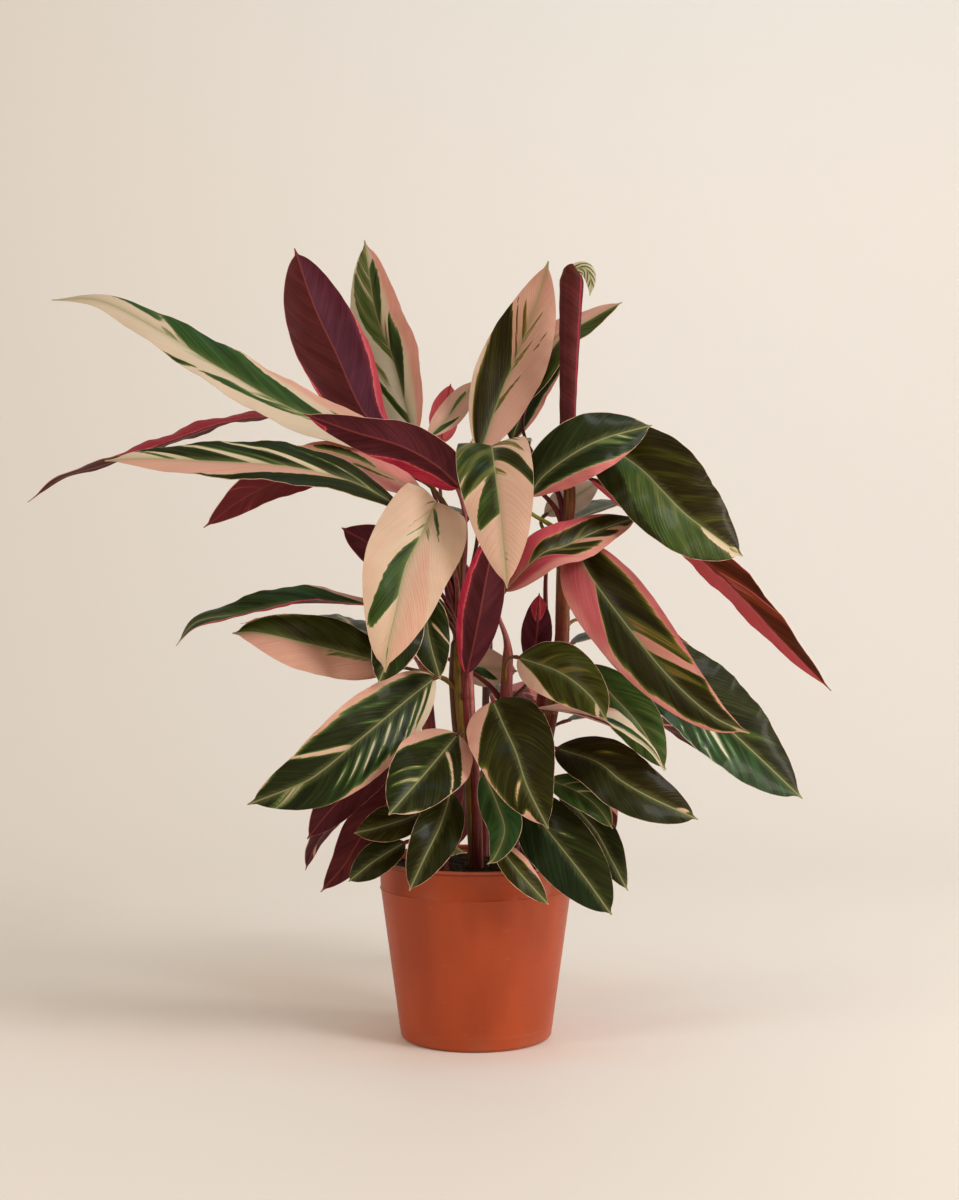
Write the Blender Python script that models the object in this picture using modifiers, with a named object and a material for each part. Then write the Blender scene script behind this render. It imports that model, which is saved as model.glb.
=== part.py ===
"""Potted stromanthe: a plastic grow pot filled with soil, leafy canes and large thin leaves.

Metres in Blender, +Z up. The origin is the centre of the flat foot that the pot stands on.
Sizes in the tables are millimetres. Every leaf's midrib is written as (across, depth, height):
its place on the upright plane through the pot's centre as seen from EYE, and how far behind
that plane it is. real_place moves it along its line of sight, so a leaf keeps its outline
from EYE when only its depth changes.
"""

import math

import bmesh
import bpy
from mathutils import Vector

MM = 0.001

# The spot that the leaf places are measured from.
EYE = Vector((3, -1566, 378))

# Pot, a thin moulded grow pot
POT_HEIGHT = 154
RIM_RADIUS = 85
FOOT_RADIUS = 65
WALL = 1.6
LIP_OUT = 1
LIP_HEIGHT = 3
BEAD_HEIGHT = 129
BEAD_RADIUS = 82.8
BEAD_OUT = 0.7
BEAD_HALF = 1.2
FOOT_ROUND = 4
FLOOR = 2
DRAIN_COUNT = 6
DRAIN_RADIUS = 6
DRAIN_CIRCLE = 42
POT_SIDES = 40

# Soil
SOIL_TOP = 146
SOIL_DOME = 4
SOIL_GAP = 0.4
HOLE_GAP = 0.4
STEM_FOOT = 90

# Leaves
THICKNESS = 0.9
BASE_HALF_WIDTH = 1.5
TIP_HALF_WIDTH = 0.6
LEAF_ROWS = 8
LEAF_COLUMNS = 4
SHORT_LEAF = 120
SHORT_ROWS = 5
WAVE_LENGTH = 55
OVAL_END = 0.97
PETIOLE_GAP = 0.42

# Petioles, the stalks that carry the blades
PETIOLE_TOP_RADIUS = 1.3
PETIOLE_ROOT_RADIUS = 2.2
PETIOLE_STEPS = 5
PETIOLE_BEND = 0.45
LEAST_RISE = 45
BELOW_TOP = 4
ABOVE_SOIL = 6

# Blades at the back: how far they start out from the cane and above their stalk's root
BACK_START = 40
BACK_RISE = 70
BACK_ARCH_PIECES = 5
BACK_OVERLAP = 4
BACK_FORM = {"fold": 12, "wave": 1.5, "widest": 0.47, "full": 0.66}


def leaf(stem, width, turn, points, fold=10, wave=1.5, widest=0.47, full=0.66, joins=None):
    """A blade's form. turn is the angle in degrees between its upper face and EYE, about the midrib.

    fold lifts both halves off the midrib's plane, widest is where the blade is widest, from 0 at
    its base to 1 at its tip, a smaller full makes a blunter oval, and joins is the height on the
    cane where its stalk leaves.
    """
    return {
        "stem": stem,
        "width": width,
        "turn": turn,
        "points": points,
        "fold": fold,
        "wave": wave,
        "widest": widest,
        "full": full,
        "joins": joins,
    }


LEAVES = {
    # Upright leaves at the top
    "leaf_top_1": leaf("cane_left", 66, 165, [(-73, 15, 517), (-99, 30, 543), (-121, 45, 591),
                                              (-141, 55, 634), (-158, 50, 684)], fold=8, full=0.58,
                       widest=0.55),
    "leaf_top_2": leaf("cane_left", 60, 25, [(-53, 40, 519), (-61, 60, 547), (-73, 80, 591),
                                             (-87, 88, 628), (-97, 90, 691)], fold=10, full=0.6,
                       widest=0.5),
    "leaf_top_3": leaf("cane_left", 61, 10, [(4, 10, 506), (21, 28, 556), (39, 38, 599),
                                             (55, 38, 645), (63, 30, 673)], full=0.72),
    "leaf_top_4": leaf("cane_right", 38, 30, [(31, 45, 517), (46, 62, 554), (60, 70, 580),
                                              (66, 72, 616)], joins=430),
    "leaf_top_5": leaf("cane_right", 36, 40, [(45, 35, 552), (70, 42, 601), (103, 50, 624),
                                              (127, 52, 637)], joins=440),
    "leaf_top_6": leaf("cane_left", 28, 170, [(-30, 62, 515), (-27, 74, 540), (-22, 80, 566)]),
    "leaf_top_7": leaf("cane_left", 25, 20, [(-41, 28, 520), (-25, 42, 536), (-9, 56, 556),
                                             (8, 64, 570)]),
    # Leaves that reach to the left
    "leaf_left_1": leaf("cane_left", 47, -38, [(-57, -40, 508), (-153, -60, 541), (-222, -70, 579),
                                               (-275, -70, 612), (-327, -62, 638), (-369, -50, 639)],
                        full=0.75, widest=0.4),
    "leaf_left_2": leaf("cane_left", 40, -105, [(-66, -5, 521), (-153, 6, 536), (-215, 24, 532),
                                                (-275, 46, 512), (-327, 64, 495), (-362, 78, 484),
                                                (-390, 88, 463)], fold=8),
    "leaf_left_3": leaf("cane_left", 48, -48, [(-66, -76, 459), (-109, -98, 481), (-165, -114, 494),
                                               (-240, -126, 499), (-292, -132, 501), (-323, -134, 499)]),
    "leaf_left_4": leaf("cane_left", 45, -140, [(-75, -30, 489), (-144, -36, 490), (-196, -38, 470),
                                                (-237, -34, 441)]),
    "leaf_left_5": leaf("cane_left", 42, -155, [(-14, -58, 476), (-36, -78, 496), (-66, -92, 512),
                                                (-109, -102, 525), (-150, -104, 540)], widest=0.35),
    "leaf_left_6": leaf("cane_left", 36, -40, [(-46, -38, 470), (-83, -54, 489), (-118, -62, 504),
                                               (-155, -68, 512)]),
    "leaf_left_7": leaf("cane_left", 46, -150, [(-50, -36, 384), (-80, -50, 418), (-117, -56, 441)]),
    "leaf_left_8": leaf("cane_left", 44, -68, [(-79, -62, 373), (-153, -92, 375), (-201, -108, 366),
                                               (-242, -116, 359), (-261, -116, 338)], fold=24),
    "leaf_left_9": leaf("cane_left", 52, -20, [(-71, -52, 321), (-99, -66, 328), (-144, -84, 339),
                                               (-188, -96, 349), (-212, -102, 349)]),
    # Leaves that reach to the right
    "leaf_right_1": leaf("cane_right", 54, 10, [(46, -40, 469), (60, -44, 487), (86, -44, 506),
                                                (113, -38, 519), (153, -25, 530)]),
    "leaf_right_2": leaf("cane_right", 82, 20, [(102, 0, 520), (141, -12, 494), (164, -18, 471),
                                                (183, -18, 452), (207, -8, 434), (232, 8, 416)],
                         full=0.62, widest=0.42),
    "leaf_right_3": leaf("cane_right", 46, 132, [(99, 14, 484), (154, 34, 450), (197, 48, 415),
                                                 (232, 58, 381), (267, 66, 343), (309, 72, 299)]),
    "leaf_right_4": leaf("cane_middle", 44, 30, [(25, -36, 386), (56, -44, 417), (78, -34, 425),
                                                 (108, -16, 439), (141, 2, 450)]),
    "leaf_right_5": leaf("cane_right", 64, 5, [(86, -8, 424), (103, -34, 394), (139, -64, 346),
                                               (170, -80, 309), (206, -90, 277), (238, -92, 262)],
                         widest=0.36),
    "leaf_right_6": leaf("cane_right", 82, 32, [(95, 20, 360), (130, 14, 338), (180, 12, 300),
                                                (228, 20, 258), (284, 40, 205)], full=0.6,
                         widest=0.52),
    "leaf_right_7": leaf("cane_right", 30, 30, [(60, 22, 452), (86, 30, 467), (108, 34, 482)]),
    "leaf_right_8": leaf("cane_right", 44, 10, [(95, -6, 321), (119, -24, 295), (143, -32, 268),
                                                (165, -30, 230)]),
    # Leaves that arch over and hang at the front
    "leaf_front_1": leaf("cane_left", 63, 0, [(21, -12, 489), (14, -52, 512), (16, -90, 496),
                                              (21, -110, 456), (25, -124, 412), (27, -128, 388)]),
    "leaf_front_2": leaf("cane_left", 75, 5, [(-33, -34, 444), (-35, -62, 463), (-48, -90, 434),
                                              (-62, -106, 404), (-70, -118, 369), (-78, -122, 334),
                                              (-79, -120, 315)]),
    "leaf_front_3": leaf("cane_middle", 68, 0, [(15, -58, 290), (25, -86, 267), (35, -106, 245),
                                                (45, -122, 215), (63, -132, 179)], widest=0.38),
    "leaf_front_4": leaf("shoot_front_left", 61, -10, [(-16, -62, 261), (-35, -98, 238),
                                                       (-53, -124, 217), (-76, -144, 191)], full=0.6),
    "leaf_front_5": leaf("shoot_front_right", 32, 0, [(7, -52, 227), (19, -78, 199), (25, -92, 177),
                                                      (17, -102, 155), (10, -104, 148)]),
    "leaf_front_6": leaf("shoot_front_right", 24, 20, [(19, -78, 166), (28, -92, 153), (42, -100, 136),
                                                       (63, -98, 113)]),
    # Leaves among the stems
    "leaf_inner_1": leaf("cane_left", 38, 172, [(-8, -42, 314), (2, -52, 360), (12, -58, 414),
                                                (20, -62, 446)]),
    "leaf_inner_2": leaf("cane_left", 42, 10, [(-57, -66, 378), (-70, -92, 343), (-85, -98, 305)]),
    "leaf_inner_3": leaf("cane_left", 36, 10, [(-44, -52, 386), (-41, -68, 347), (-31, -72, 309)]),
    "leaf_inner_4": leaf("cane_left", 32, 172, [(-5, 22, 343), (-12, 32, 386), (-22, 36, 423)]),
    "leaf_inner_5": leaf("cane_middle", 38, 20, [(-20, 30, 326), (8, 36, 319), (36, 38, 316)]),
    "leaf_inner_6": leaf("cane_middle", 28, 175, [(50, 12, 318), (53, 20, 350), (55, 22, 384)]),
    # Low leaves at the left
    "leaf_low_left_1": leaf("cane_left", 66, 14, [(-36, -38, 310), (-59, -64, 292), (-101, -96, 257),
                                                  (-132, -110, 231), (-153, -114, 218),
                                                  (-199, -108, 200)], fold=12),
    "leaf_low_left_2": leaf("shoot_front_left", 44, -150, [(-66, -46, 251), (-101, -62, 221),
                                                           (-127, -70, 195), (-147, -74, 170)]),
    "leaf_low_left_3": leaf("shoot_front_left", 38, -160, [(-48, -22, 225), (-75, -30, 204),
                                                           (-99, -38, 173), (-115, -42, 147),
                                                           (-135, -42, 124)]),
    "leaf_low_left_4": leaf("shoot_front_left", 34, -25, [(-48, -58, 193), (-62, -70, 187),
                                                          (-88, -84, 179), (-106, -88, 175)]),
    "leaf_low_left_5": leaf("shoot_front_left", 30, -20, [(-62, -56, 167), (-88, -66, 151),
                                                          (-111, -68, 133)]),
    "leaf_low_left_6": leaf("shoot_front_left", 40, 0, [(-22, -56, 211), (-31, -84, 182),
                                                        (-45, -100, 153), (-58, -104, 125)]),
    # Low leaves at the right
    "leaf_low_right_1": leaf("cane_middle", 50, 5, [(37, -44, 328), (73, -84, 315), (99, -102, 295),
                                                    (114, -108, 273)]),
    "leaf_low_right_2": leaf("shoot_front_right", 36, 72, [(52, -54, 284), (87, -78, 278),
                                                           (126, -92, 264), (152, -94, 247),
                                                           (164, -92, 229)], fold=30),
    "leaf_low_right_3": leaf("shoot_front_right", 52, 20, [(70, -50, 249), (105, -80, 237),
                                                           (126, -90, 221), (150, -94, 207),
                                                           (193, -88, 187)], full=0.6),
    "leaf_low_right_4": leaf("shoot_front_right", 55, 0, [(39, -52, 208), (62, -78, 178),
                                                          (82, -90, 153), (99, -94, 131),
                                                          (118, -92, 104)], full=0.6),
    "leaf_low_right_5": leaf("shoot_front_right", 32, 20, [(73, -30, 212), (102, -48, 180),
                                                           (118, -56, 152), (132, -58, 125)]),
    "leaf_low_right_6": leaf("shoot_front_right", 28, 20, [(62, -64, 222), (88, -84, 211),
                                                           (106, -92, 197), (119, -94, 179)]),
    # A dried scrap of leaf that lies over the rim
    "dry_leaf": leaf("shoot_front_left", 12, -60, [(-9, -66, 158), (-16, -78, 157), (-28, -88, 156)],
                     wave=0.5),
}

# Canes and short shoots: (across, depth, height, radius) up each axis
CANES = {
    "cane_left": [(0, -22, STEM_FOOT, 7), (0, -22, 150, 7), (-4, -22, 220, 8), (-10, -20, 265, 11),
                  (-13, -18, 310, 12), (-14, -16, 345, 8)],
    "cane_middle": [(18, 4, STEM_FOOT, 5), (18, 4, 150, 5), (22, 2, 220, 6), (26, 0, 290, 6),
                    (28, -4, 335, 4)],
    "cane_right": [(44, 22, STEM_FOOT, 5), (44, 22, 150, 5), (54, 18, 220, 5.5), (66, 12, 285, 6),
                   (75, 6, 343, 5), (76, 2, 403, 4.5), (80, 0, 460, 4.4), (80, 0, 505, 4.1),
                   (80, 0, 540, 3.8)],
    "shoot_front_left": [(-30, -38, STEM_FOOT, 4.5), (-30, -38, 150, 4.5), (-29, -40, 175, 3.5)],
    "shoot_front_right": [(30, -36, STEM_FOOT, 4.5), (30, -36, 150, 4.5), (32, -38, 185, 3.5)],
}

# Leafy shoots behind the pot's centre: foot x, foot y, lean x, lean y, height of the top
BACK_SHOOTS = {
    "back_shoot_left": (-36, 34, -10, 26, 330),
    "back_shoot_middle": (6, 50, 4, 24, 380),
    "back_shoot_right": (44, 50, 20, 22, 330),
}
# Their leaves: heading in degrees from +X, reach, height of the blade's base, rise, droop, width
BACK_LEAVES = {
    "back_shoot_left": [(128, 240, 478, 20, 14, 58), (138, 220, 338, 16, 14, 56),
                        (118, 190, 236, 24, 40, 58), (150, 130, 190, 10, 50, 44)],
    "back_shoot_middle": [(84, 240, 470, 44, 34, 62), (104, 220, 455, 16, 30, 58),
                          (76, 200, 288, 16, 34, 58), (98, 170, 214, 10, 50, 54)],
    "back_shoot_right": [(48, 220, 452, 20, 26, 60), (40, 200, 338, 16, 34, 58),
                         (32, 190, 268, 10, 30, 56), (58, 150, 205, 10, 46, 50)],
}

# The newest leaf, still rolled into a tube on top of the right cane: (across, depth, height, radius)
ROLLED_AXIS = [(80, 0, 522, 8), (81, 0, 569, 9), (82.5, 0, 621, 10.5), (84, 0, 658, 12)]
ROLL_TURNS = 1.35
ROLL_STEP = 3.2
ROLL_COLUMNS = 14
ROLL_ROWS = 6
ROLL_POINT = 14


def real_place(place):
    """The real point, in metres, of a place written as seen from EYE."""
    across, depth, height = place
    reach = 1 + depth / -EYE.y
    x = EYE.x + (across - EYE.x) * reach
    z = EYE.z + (height - EYE.z) * reach
    return Vector((x, depth, z)) * MM


def smooth_path(points, count):
    """count + 1 evenly spaced points on a Catmull-Rom curve through points."""
    ends = [points[0] * 2 - points[1]] + list(points) + [points[-1] * 2 - points[-2]]
    fine = []
    for i in range(len(points) - 1):
        a, b, c, d = ends[i:i + 4]
        for step in range(20):
            t = step / 20
            fine.append(0.5 * (2 * b + (c - a) * t + (2 * a - 5 * b + 4 * c - d) * t * t
                               + (3 * b - a - 3 * c + d) * t ** 3))
    fine.append(points[-1])
    lengths = [0.0]
    for a, b in zip(fine, fine[1:]):
        lengths.append(lengths[-1] + (b - a).length)
    path = []
    i = 0
    for k in range(count + 1):
        want = lengths[-1] * k / count
        while i < len(fine) - 2 and lengths[i + 1] < want:
            i += 1
        span = lengths[i + 1] - lengths[i]
        path.append(fine[i].lerp(fine[i + 1], (want - lengths[i]) / span))
    return path, lengths[-1]


def directions(path):
    steps = [(b - a).normalized() for a, b in zip(path, path[1:])]
    middle = [(a + b).normalized() for a, b in zip(steps, steps[1:])]
    return [steps[0]] + middle + [steps[-1]]


def carried_faces(tangents, start, face):
    """The upper face's direction at each point, carried along the path without turning about it."""
    faces = [None] * len(tangents)
    faces[start] = face
    for i in range(start + 1, len(tangents)):
        faces[i] = tangents[i - 1].rotation_difference(tangents[i]) @ faces[i - 1]
    for i in range(start - 1, -1, -1):
        faces[i] = tangents[i + 1].rotation_difference(tangents[i]) @ faces[i + 1]
    return faces


def blade_outline(u, widest, full):
    """Half width at u from base to tip, as a share of the greatest: a long oval with a drawn-out tip."""
    body = min(u / OVAL_END, 1)
    oval = math.sin(math.pi * body ** (math.log(0.5) / math.log(widest))) ** full if body < 1 else 0
    return max(oval, 1 - u) if u > OVAL_END else oval


def blade_mesh(name, path, length, faces, form, rows):
    """An open blade about its midrib: two halves folded at the rib, with waved edges."""
    bm = bmesh.new()
    bmesh.ops.create_grid(bm, x_segments=LEAF_COLUMNS, y_segments=rows, size=1)
    tangents = directions(path)
    for vert in bm.verts:
        across, along = vert.co.x, (vert.co.y + 1) / 2
        i = round(along * rows)
        half = max(form["width"] / 2 * MM * blade_outline(along, form["widest"], form["full"]),
                   (BASE_HALF_WIDTH * (1 - along) + TIP_HALF_WIDTH * along) * MM)
        face = faces[i]
        side = tangents[i].cross(face).normalized()
        fold = math.radians(form["fold"]) * math.sin(math.pi * min(1, 0.1 + along))
        waves = length / MM / WAVE_LENGTH
        wave = form["wave"] * MM * math.sin(math.pi * along) * across ** 2
        wave *= math.sin(2 * math.pi * waves * along + 1.3 * (across > 0))
        vert.co = (path[i] + side * across * half * math.cos(fold)
                   + face * (abs(across) * half * math.sin(fold) + wave))
    bmesh.ops.triangulate(bm, faces=bm.faces)
    return finished_mesh(name, bm)


def finished_mesh(name, bm):
    mesh = bpy.data.meshes.new(name)
    bm.to_mesh(mesh)
    bm.free()
    return mesh


def add_object(name, mesh, material, collection):
    obj = bpy.data.objects.new(name, mesh)
    collection.objects.link(obj)
    obj.data.materials.append(material)
    return obj


def add_thickness(obj, thickness):
    modifier = obj.modifiers.new("Thickness", "SOLIDIFY")
    modifier.thickness = thickness * MM
    modifier.offset = 0


def row_count(length):
    return SHORT_ROWS if length < SHORT_LEAF * MM else LEAF_ROWS


def front_blade(name, form):
    """A blade from LEAVES, turned about its midrib as its form says."""
    places = [real_place(place) for place in form["points"]]
    length = smooth_path(places, 4)[1]
    rows = row_count(length)
    path, length = smooth_path(places, rows)
    tangents = directions(path)
    middle = round(rows * 0.55)
    to_eye = (EYE * MM - path[middle]).normalized()
    across_view = to_eye.cross(tangents[middle]).normalized()
    flat_view = tangents[middle].cross(across_view).normalized()
    turn = math.radians(form["turn"])
    face = flat_view * math.cos(turn) + across_view * math.sin(turn)
    faces = carried_faces(tangents, middle, face)
    return blade_mesh(name, path, length, faces, form, rows), path[0], tangents[0]


def arched_places(base, heading, reach, rise, droop):
    """Points up a midrib that leaves base at the rise angle and bends down by the droop angle."""
    flat = Vector((math.cos(math.radians(heading)), math.sin(math.radians(heading)), 0))
    places = [base]
    for k in range(BACK_ARCH_PIECES):
        bent = (k + 0.5) / (BACK_ARCH_PIECES - 0.5)
        angle = math.radians(rise - droop * 1.5 * bent)
        step = flat * math.cos(angle) + Vector((0, 0, 1)) * math.sin(angle)
        places.append(places[-1] + step * reach / BACK_ARCH_PIECES * MM)
    return places


def back_blade(name, base, entry):
    heading, reach, _, rise, droop, width = entry
    places = arched_places(base, heading, reach, rise, droop)
    path, length = smooth_path(places, LEAF_ROWS)
    tangents = directions(path)
    level = Vector((0, 0, 1)).cross(tangents[0]).normalized()
    faces = carried_faces(tangents, 0, tangents[0].cross(level).normalized())
    form = {"width": width, **BACK_FORM}
    return blade_mesh(name, path, length, faces, form, LEAF_ROWS), tangents[0]


def tube(name, points, radii, material, collection, sides=1):
    """A rod along points as a curve with filled caps, made a mesh."""
    curve = bpy.data.curves.new(name, "CURVE")
    curve.dimensions = "3D"
    curve.bevel_depth = MM
    curve.bevel_resolution = sides
    curve.use_fill_caps = True
    spline = curve.splines.new("POLY")
    spline.points.add(len(points) - 1)
    for point, place, radius in zip(spline.points, points, radii):
        point.co = (*place, 1)
        point.radius = radius
    guide = bpy.data.objects.new(name + "_guide", curve)
    collection.objects.link(guide)
    graph = bpy.context.evaluated_depsgraph_get()
    mesh = bpy.data.meshes.new_from_object(guide.evaluated_get(graph))
    bpy.data.objects.remove(guide)
    bm = bmesh.new()
    bm.from_mesh(mesh)
    bmesh.ops.remove_doubles(bm, verts=bm.verts, dist=0.02 * MM)
    bm.to_mesh(mesh)
    bm.free()
    mesh.materials.clear()
    return add_object(name, mesh, material, collection)


def between(cane, height):
    """The centre of a cane at a height, both in metres."""
    for low, high in zip(cane, cane[1:]):
        if height <= high.z:
            break
    share = max(0, min(1, (height - low.z) / (high.z - low.z)))
    return low.lerp(high, share)


def petiole_path(root, root_way, top, top_way):
    """A bent stalk that leaves the cane upward and runs into the blade's base."""
    bend = (top - root).length * PETIOLE_BEND
    a, b, c, d = root, root + root_way * bend, top - top_way * bend, top
    path = []
    for k in range(PETIOLE_STEPS + 1):
        t = k / PETIOLE_STEPS
        path.append(a * (1 - t) ** 3 + 3 * b * t * (1 - t) ** 2 + 3 * c * t * t * (1 - t) + d * t ** 3)
    return path


def petiole_radii():
    taper = (PETIOLE_TOP_RADIUS - PETIOLE_ROOT_RADIUS) / PETIOLE_STEPS
    return [PETIOLE_ROOT_RADIUS + taper * k for k in range(PETIOLE_STEPS + 1)]


def add_petiole(name, cane, top, top_way, joins, material, collection):
    """joins is the height on the cane where the stalk leaves it."""
    highest = cane[-1].z - BELOW_TOP * MM
    height = joins * MM if joins else min(highest, top.z - LEAST_RISE * MM)
    root = between(cane, min(highest, max(height, (SOIL_TOP + ABOVE_SOIL) * MM)))
    path = petiole_path(root, Vector((0, 0, 1)), top, top_way)
    tube(name, path, petiole_radii(), material, collection, 0)


def join_with(base, others):
    """Unions a collection's objects into base, then removes them."""
    modifier = base.modifiers.new("Join", "BOOLEAN")
    modifier.operation = "UNION"
    modifier.operand_type = "COLLECTION"
    modifier.collection = others
    graph = bpy.context.evaluated_depsgraph_get()
    mesh = bpy.data.meshes.new_from_object(base.evaluated_get(graph))
    base.modifiers.clear()
    base.data = mesh
    for obj in list(others.objects):
        bpy.data.objects.remove(obj)
    bpy.data.collections.remove(others)


def new_collection(name, parent):
    collection = bpy.data.collections.new(name)
    parent.children.link(collection)
    return collection


def new_material(name, colour, roughness):
    material = bpy.data.materials.new(name)
    material.use_nodes = True
    shader = material.node_tree.nodes["Principled BSDF"]
    shader.inputs["Base Color"].default_value = (*colour, 1)
    shader.inputs["Roughness"].default_value = roughness
    shader.inputs["Metallic"].default_value = 0
    return material


def turned(name, profile, material, collection):
    """A turned shell or solid from (radius, height) points that run down its outer side."""
    mesh = bpy.data.meshes.new(name)
    points = [(radius * MM, 0, height * MM) for radius, height in profile]
    mesh.from_pydata(points, [(i, i + 1) for i in range(len(points) - 1)], [])
    obj = add_object(name, mesh, material, collection)
    screw = obj.modifiers.new("Turn", "SCREW")
    screw.steps = screw.render_steps = POT_SIDES
    screw.use_merge_vertices = True
    screw.merge_threshold = 0.00001
    screw.use_smooth_shade = True
    return obj


def outer_radius(height):
    """The pot's outer wall, a straight taper up to the bead and a steeper band above it."""
    if height < BEAD_HEIGHT:
        return FOOT_RADIUS + (BEAD_RADIUS - FOOT_RADIUS) * height / BEAD_HEIGHT
    top = RIM_RADIUS - LIP_OUT
    return BEAD_RADIUS + (top - BEAD_RADIUS) * (height - BEAD_HEIGHT) / (POT_HEIGHT - BEAD_HEIGHT)


def build_pot(material, parts, cutters):
    lip_low = POT_HEIGHT - LIP_HEIGHT
    bead_low, bead_high = BEAD_HEIGHT - BEAD_HALF, BEAD_HEIGHT + BEAD_HALF
    profile = [
        (outer_radius(POT_HEIGHT) - WALL, POT_HEIGHT - 0.6),
        (outer_radius(POT_HEIGHT) - WALL + 0.6, POT_HEIGHT),
        (RIM_RADIUS - 0.8, POT_HEIGHT),
        (RIM_RADIUS, POT_HEIGHT - 0.8),
        (RIM_RADIUS, lip_low + 0.8),
        (outer_radius(lip_low), lip_low - 0.6),
        (outer_radius(bead_high), bead_high),
        (outer_radius(BEAD_HEIGHT) + BEAD_OUT, BEAD_HEIGHT),
        (outer_radius(bead_low), bead_low),
    ]
    for k in range(4):
        angle = math.radians(90 * k / 3)
        profile.append((FOOT_RADIUS - FOOT_ROUND * (1 - math.cos(angle)) + 0.4,
                        FOOT_ROUND * (1 - math.sin(angle))))
    profile += [(0, 0), (0, FLOOR)]
    inside_foot = outer_radius(FLOOR + 3) - WALL
    profile += [(inside_foot - 3, FLOOR), (inside_foot, FLOOR + 3),
                (outer_radius(BEAD_HEIGHT) - WALL, BEAD_HEIGHT)]
    profile.append(profile[0])
    pot = turned("pot", profile, material, parts)
    bpy.context.view_layer.update()
    for k in range(DRAIN_COUNT):
        angle = 2 * math.pi * k / DRAIN_COUNT
        bpy.ops.mesh.primitive_cylinder_add(vertices=12, radius=DRAIN_RADIUS * MM, depth=3 * FLOOR * MM)
        drill = bpy.context.object
        drill.location = (DRAIN_CIRCLE * MM * math.cos(angle), DRAIN_CIRCLE * MM * math.sin(angle),
                          FLOOR / 2 * MM)
        hide_cutter(drill, "drain_drill", cutters)
        cut(pot, drill)


def hide_cutter(obj, name, cutters):
    obj.name = name
    for owner in list(obj.users_collection):
        owner.objects.unlink(obj)
    cutters.objects.link(obj)
    obj.hide_render = True
    obj.display_type = "WIRE"


def cut(obj, cutter):
    modifier = obj.modifiers.new("Cut " + cutter.name, "BOOLEAN")
    modifier.operation = "DIFFERENCE"
    modifier.object = cutter


def build_soil(canes, material, parts, cutters):
    """A plug that fills the pot, with a plain hole for each cane."""
    low = FLOOR + SOIL_GAP
    inner_top = outer_radius(SOIL_TOP) - WALL - SOIL_GAP
    inner_low = outer_radius(low + 4) - WALL - SOIL_GAP
    profile = [(0, SOIL_TOP + SOIL_DOME), (inner_top * 0.45, SOIL_TOP + SOIL_DOME * 0.8),
               (inner_top * 0.8, SOIL_TOP + SOIL_DOME * 0.25), (inner_top - 1, SOIL_TOP),
               (inner_top, SOIL_TOP - 1), (outer_radius(BEAD_HEIGHT) - WALL - SOIL_GAP, BEAD_HEIGHT),
               (inner_low, low + 4), (inner_low - 4, low), (0, low)]
    soil = turned("soil", profile, material, parts)
    for name, cane in canes.items():
        foot, radius = cane[0][0], cane[0][1]
        top = (SOIL_TOP + SOIL_DOME + 10) * MM
        low_end = foot.z - HOLE_GAP * MM
        bpy.ops.mesh.primitive_cylinder_add(vertices=12, radius=radius + HOLE_GAP * MM,
                                            depth=top - low_end)
        drill = bpy.context.object
        drill.location = (foot.x, foot.y, (top + low_end) / 2)
        hide_cutter(drill, "hole_" + name, cutters)
        cut(soil, drill)


def build_front_stems(blades, canes, material, parts):
    """Each cane with the stalks of all its blades fused to it."""
    for name, cane in canes.items():
        places = [place for place, _ in cane]
        base = tube(name, places, [radius / MM for _, radius in cane], material, parts, 1)
        stalks = new_collection(name + "_stalks", parts)
        for leaf_name, (start, way) in blades.items():
            form = LEAVES[leaf_name]
            if form["stem"] == name:
                add_petiole(leaf_name + "_stalk", places, start - way * PETIOLE_GAP * MM, way,
                            form["joins"], material, stalks)
        join_with(base, stalks)


def build_back_shoots(canes, leaf_material, parts):
    """Leafy shoots behind the centre, each cane, its stalks and its blades fused in one body."""
    for name, cane in canes.items():
        places = [place for place, _ in cane]
        base = tube(name, places, [radius / MM for _, radius in cane], leaf_material, parts, 1)
        extras = new_collection(name + "_leaves", parts)
        for number, entry in enumerate(BACK_LEAVES[name], 1):
            heading, _, height, rise, _, _ = entry
            flat = Vector((math.cos(math.radians(heading)), math.sin(math.radians(heading)), 0))
            join_height = min(places[-1].z - BELOW_TOP * MM, (height - BACK_RISE) * MM)
            root = between(places, max(join_height, (SOIL_TOP + ABOVE_SOIL) * MM))
            start = root + flat * BACK_START * MM
            start.z = height * MM
            mesh, way = back_blade(name + "_blade", start, entry)
            blade = add_object(f"{name}_blade_{number}", mesh, leaf_material, extras)
            add_thickness(blade, THICKNESS)
            path = petiole_path(root, Vector((0, 0, 1)), start + way * BACK_OVERLAP * MM, way)
            tube(f"{name}_stalk_{number}", path, petiole_radii(), leaf_material, extras, 0)
        join_with(base, extras)


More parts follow.
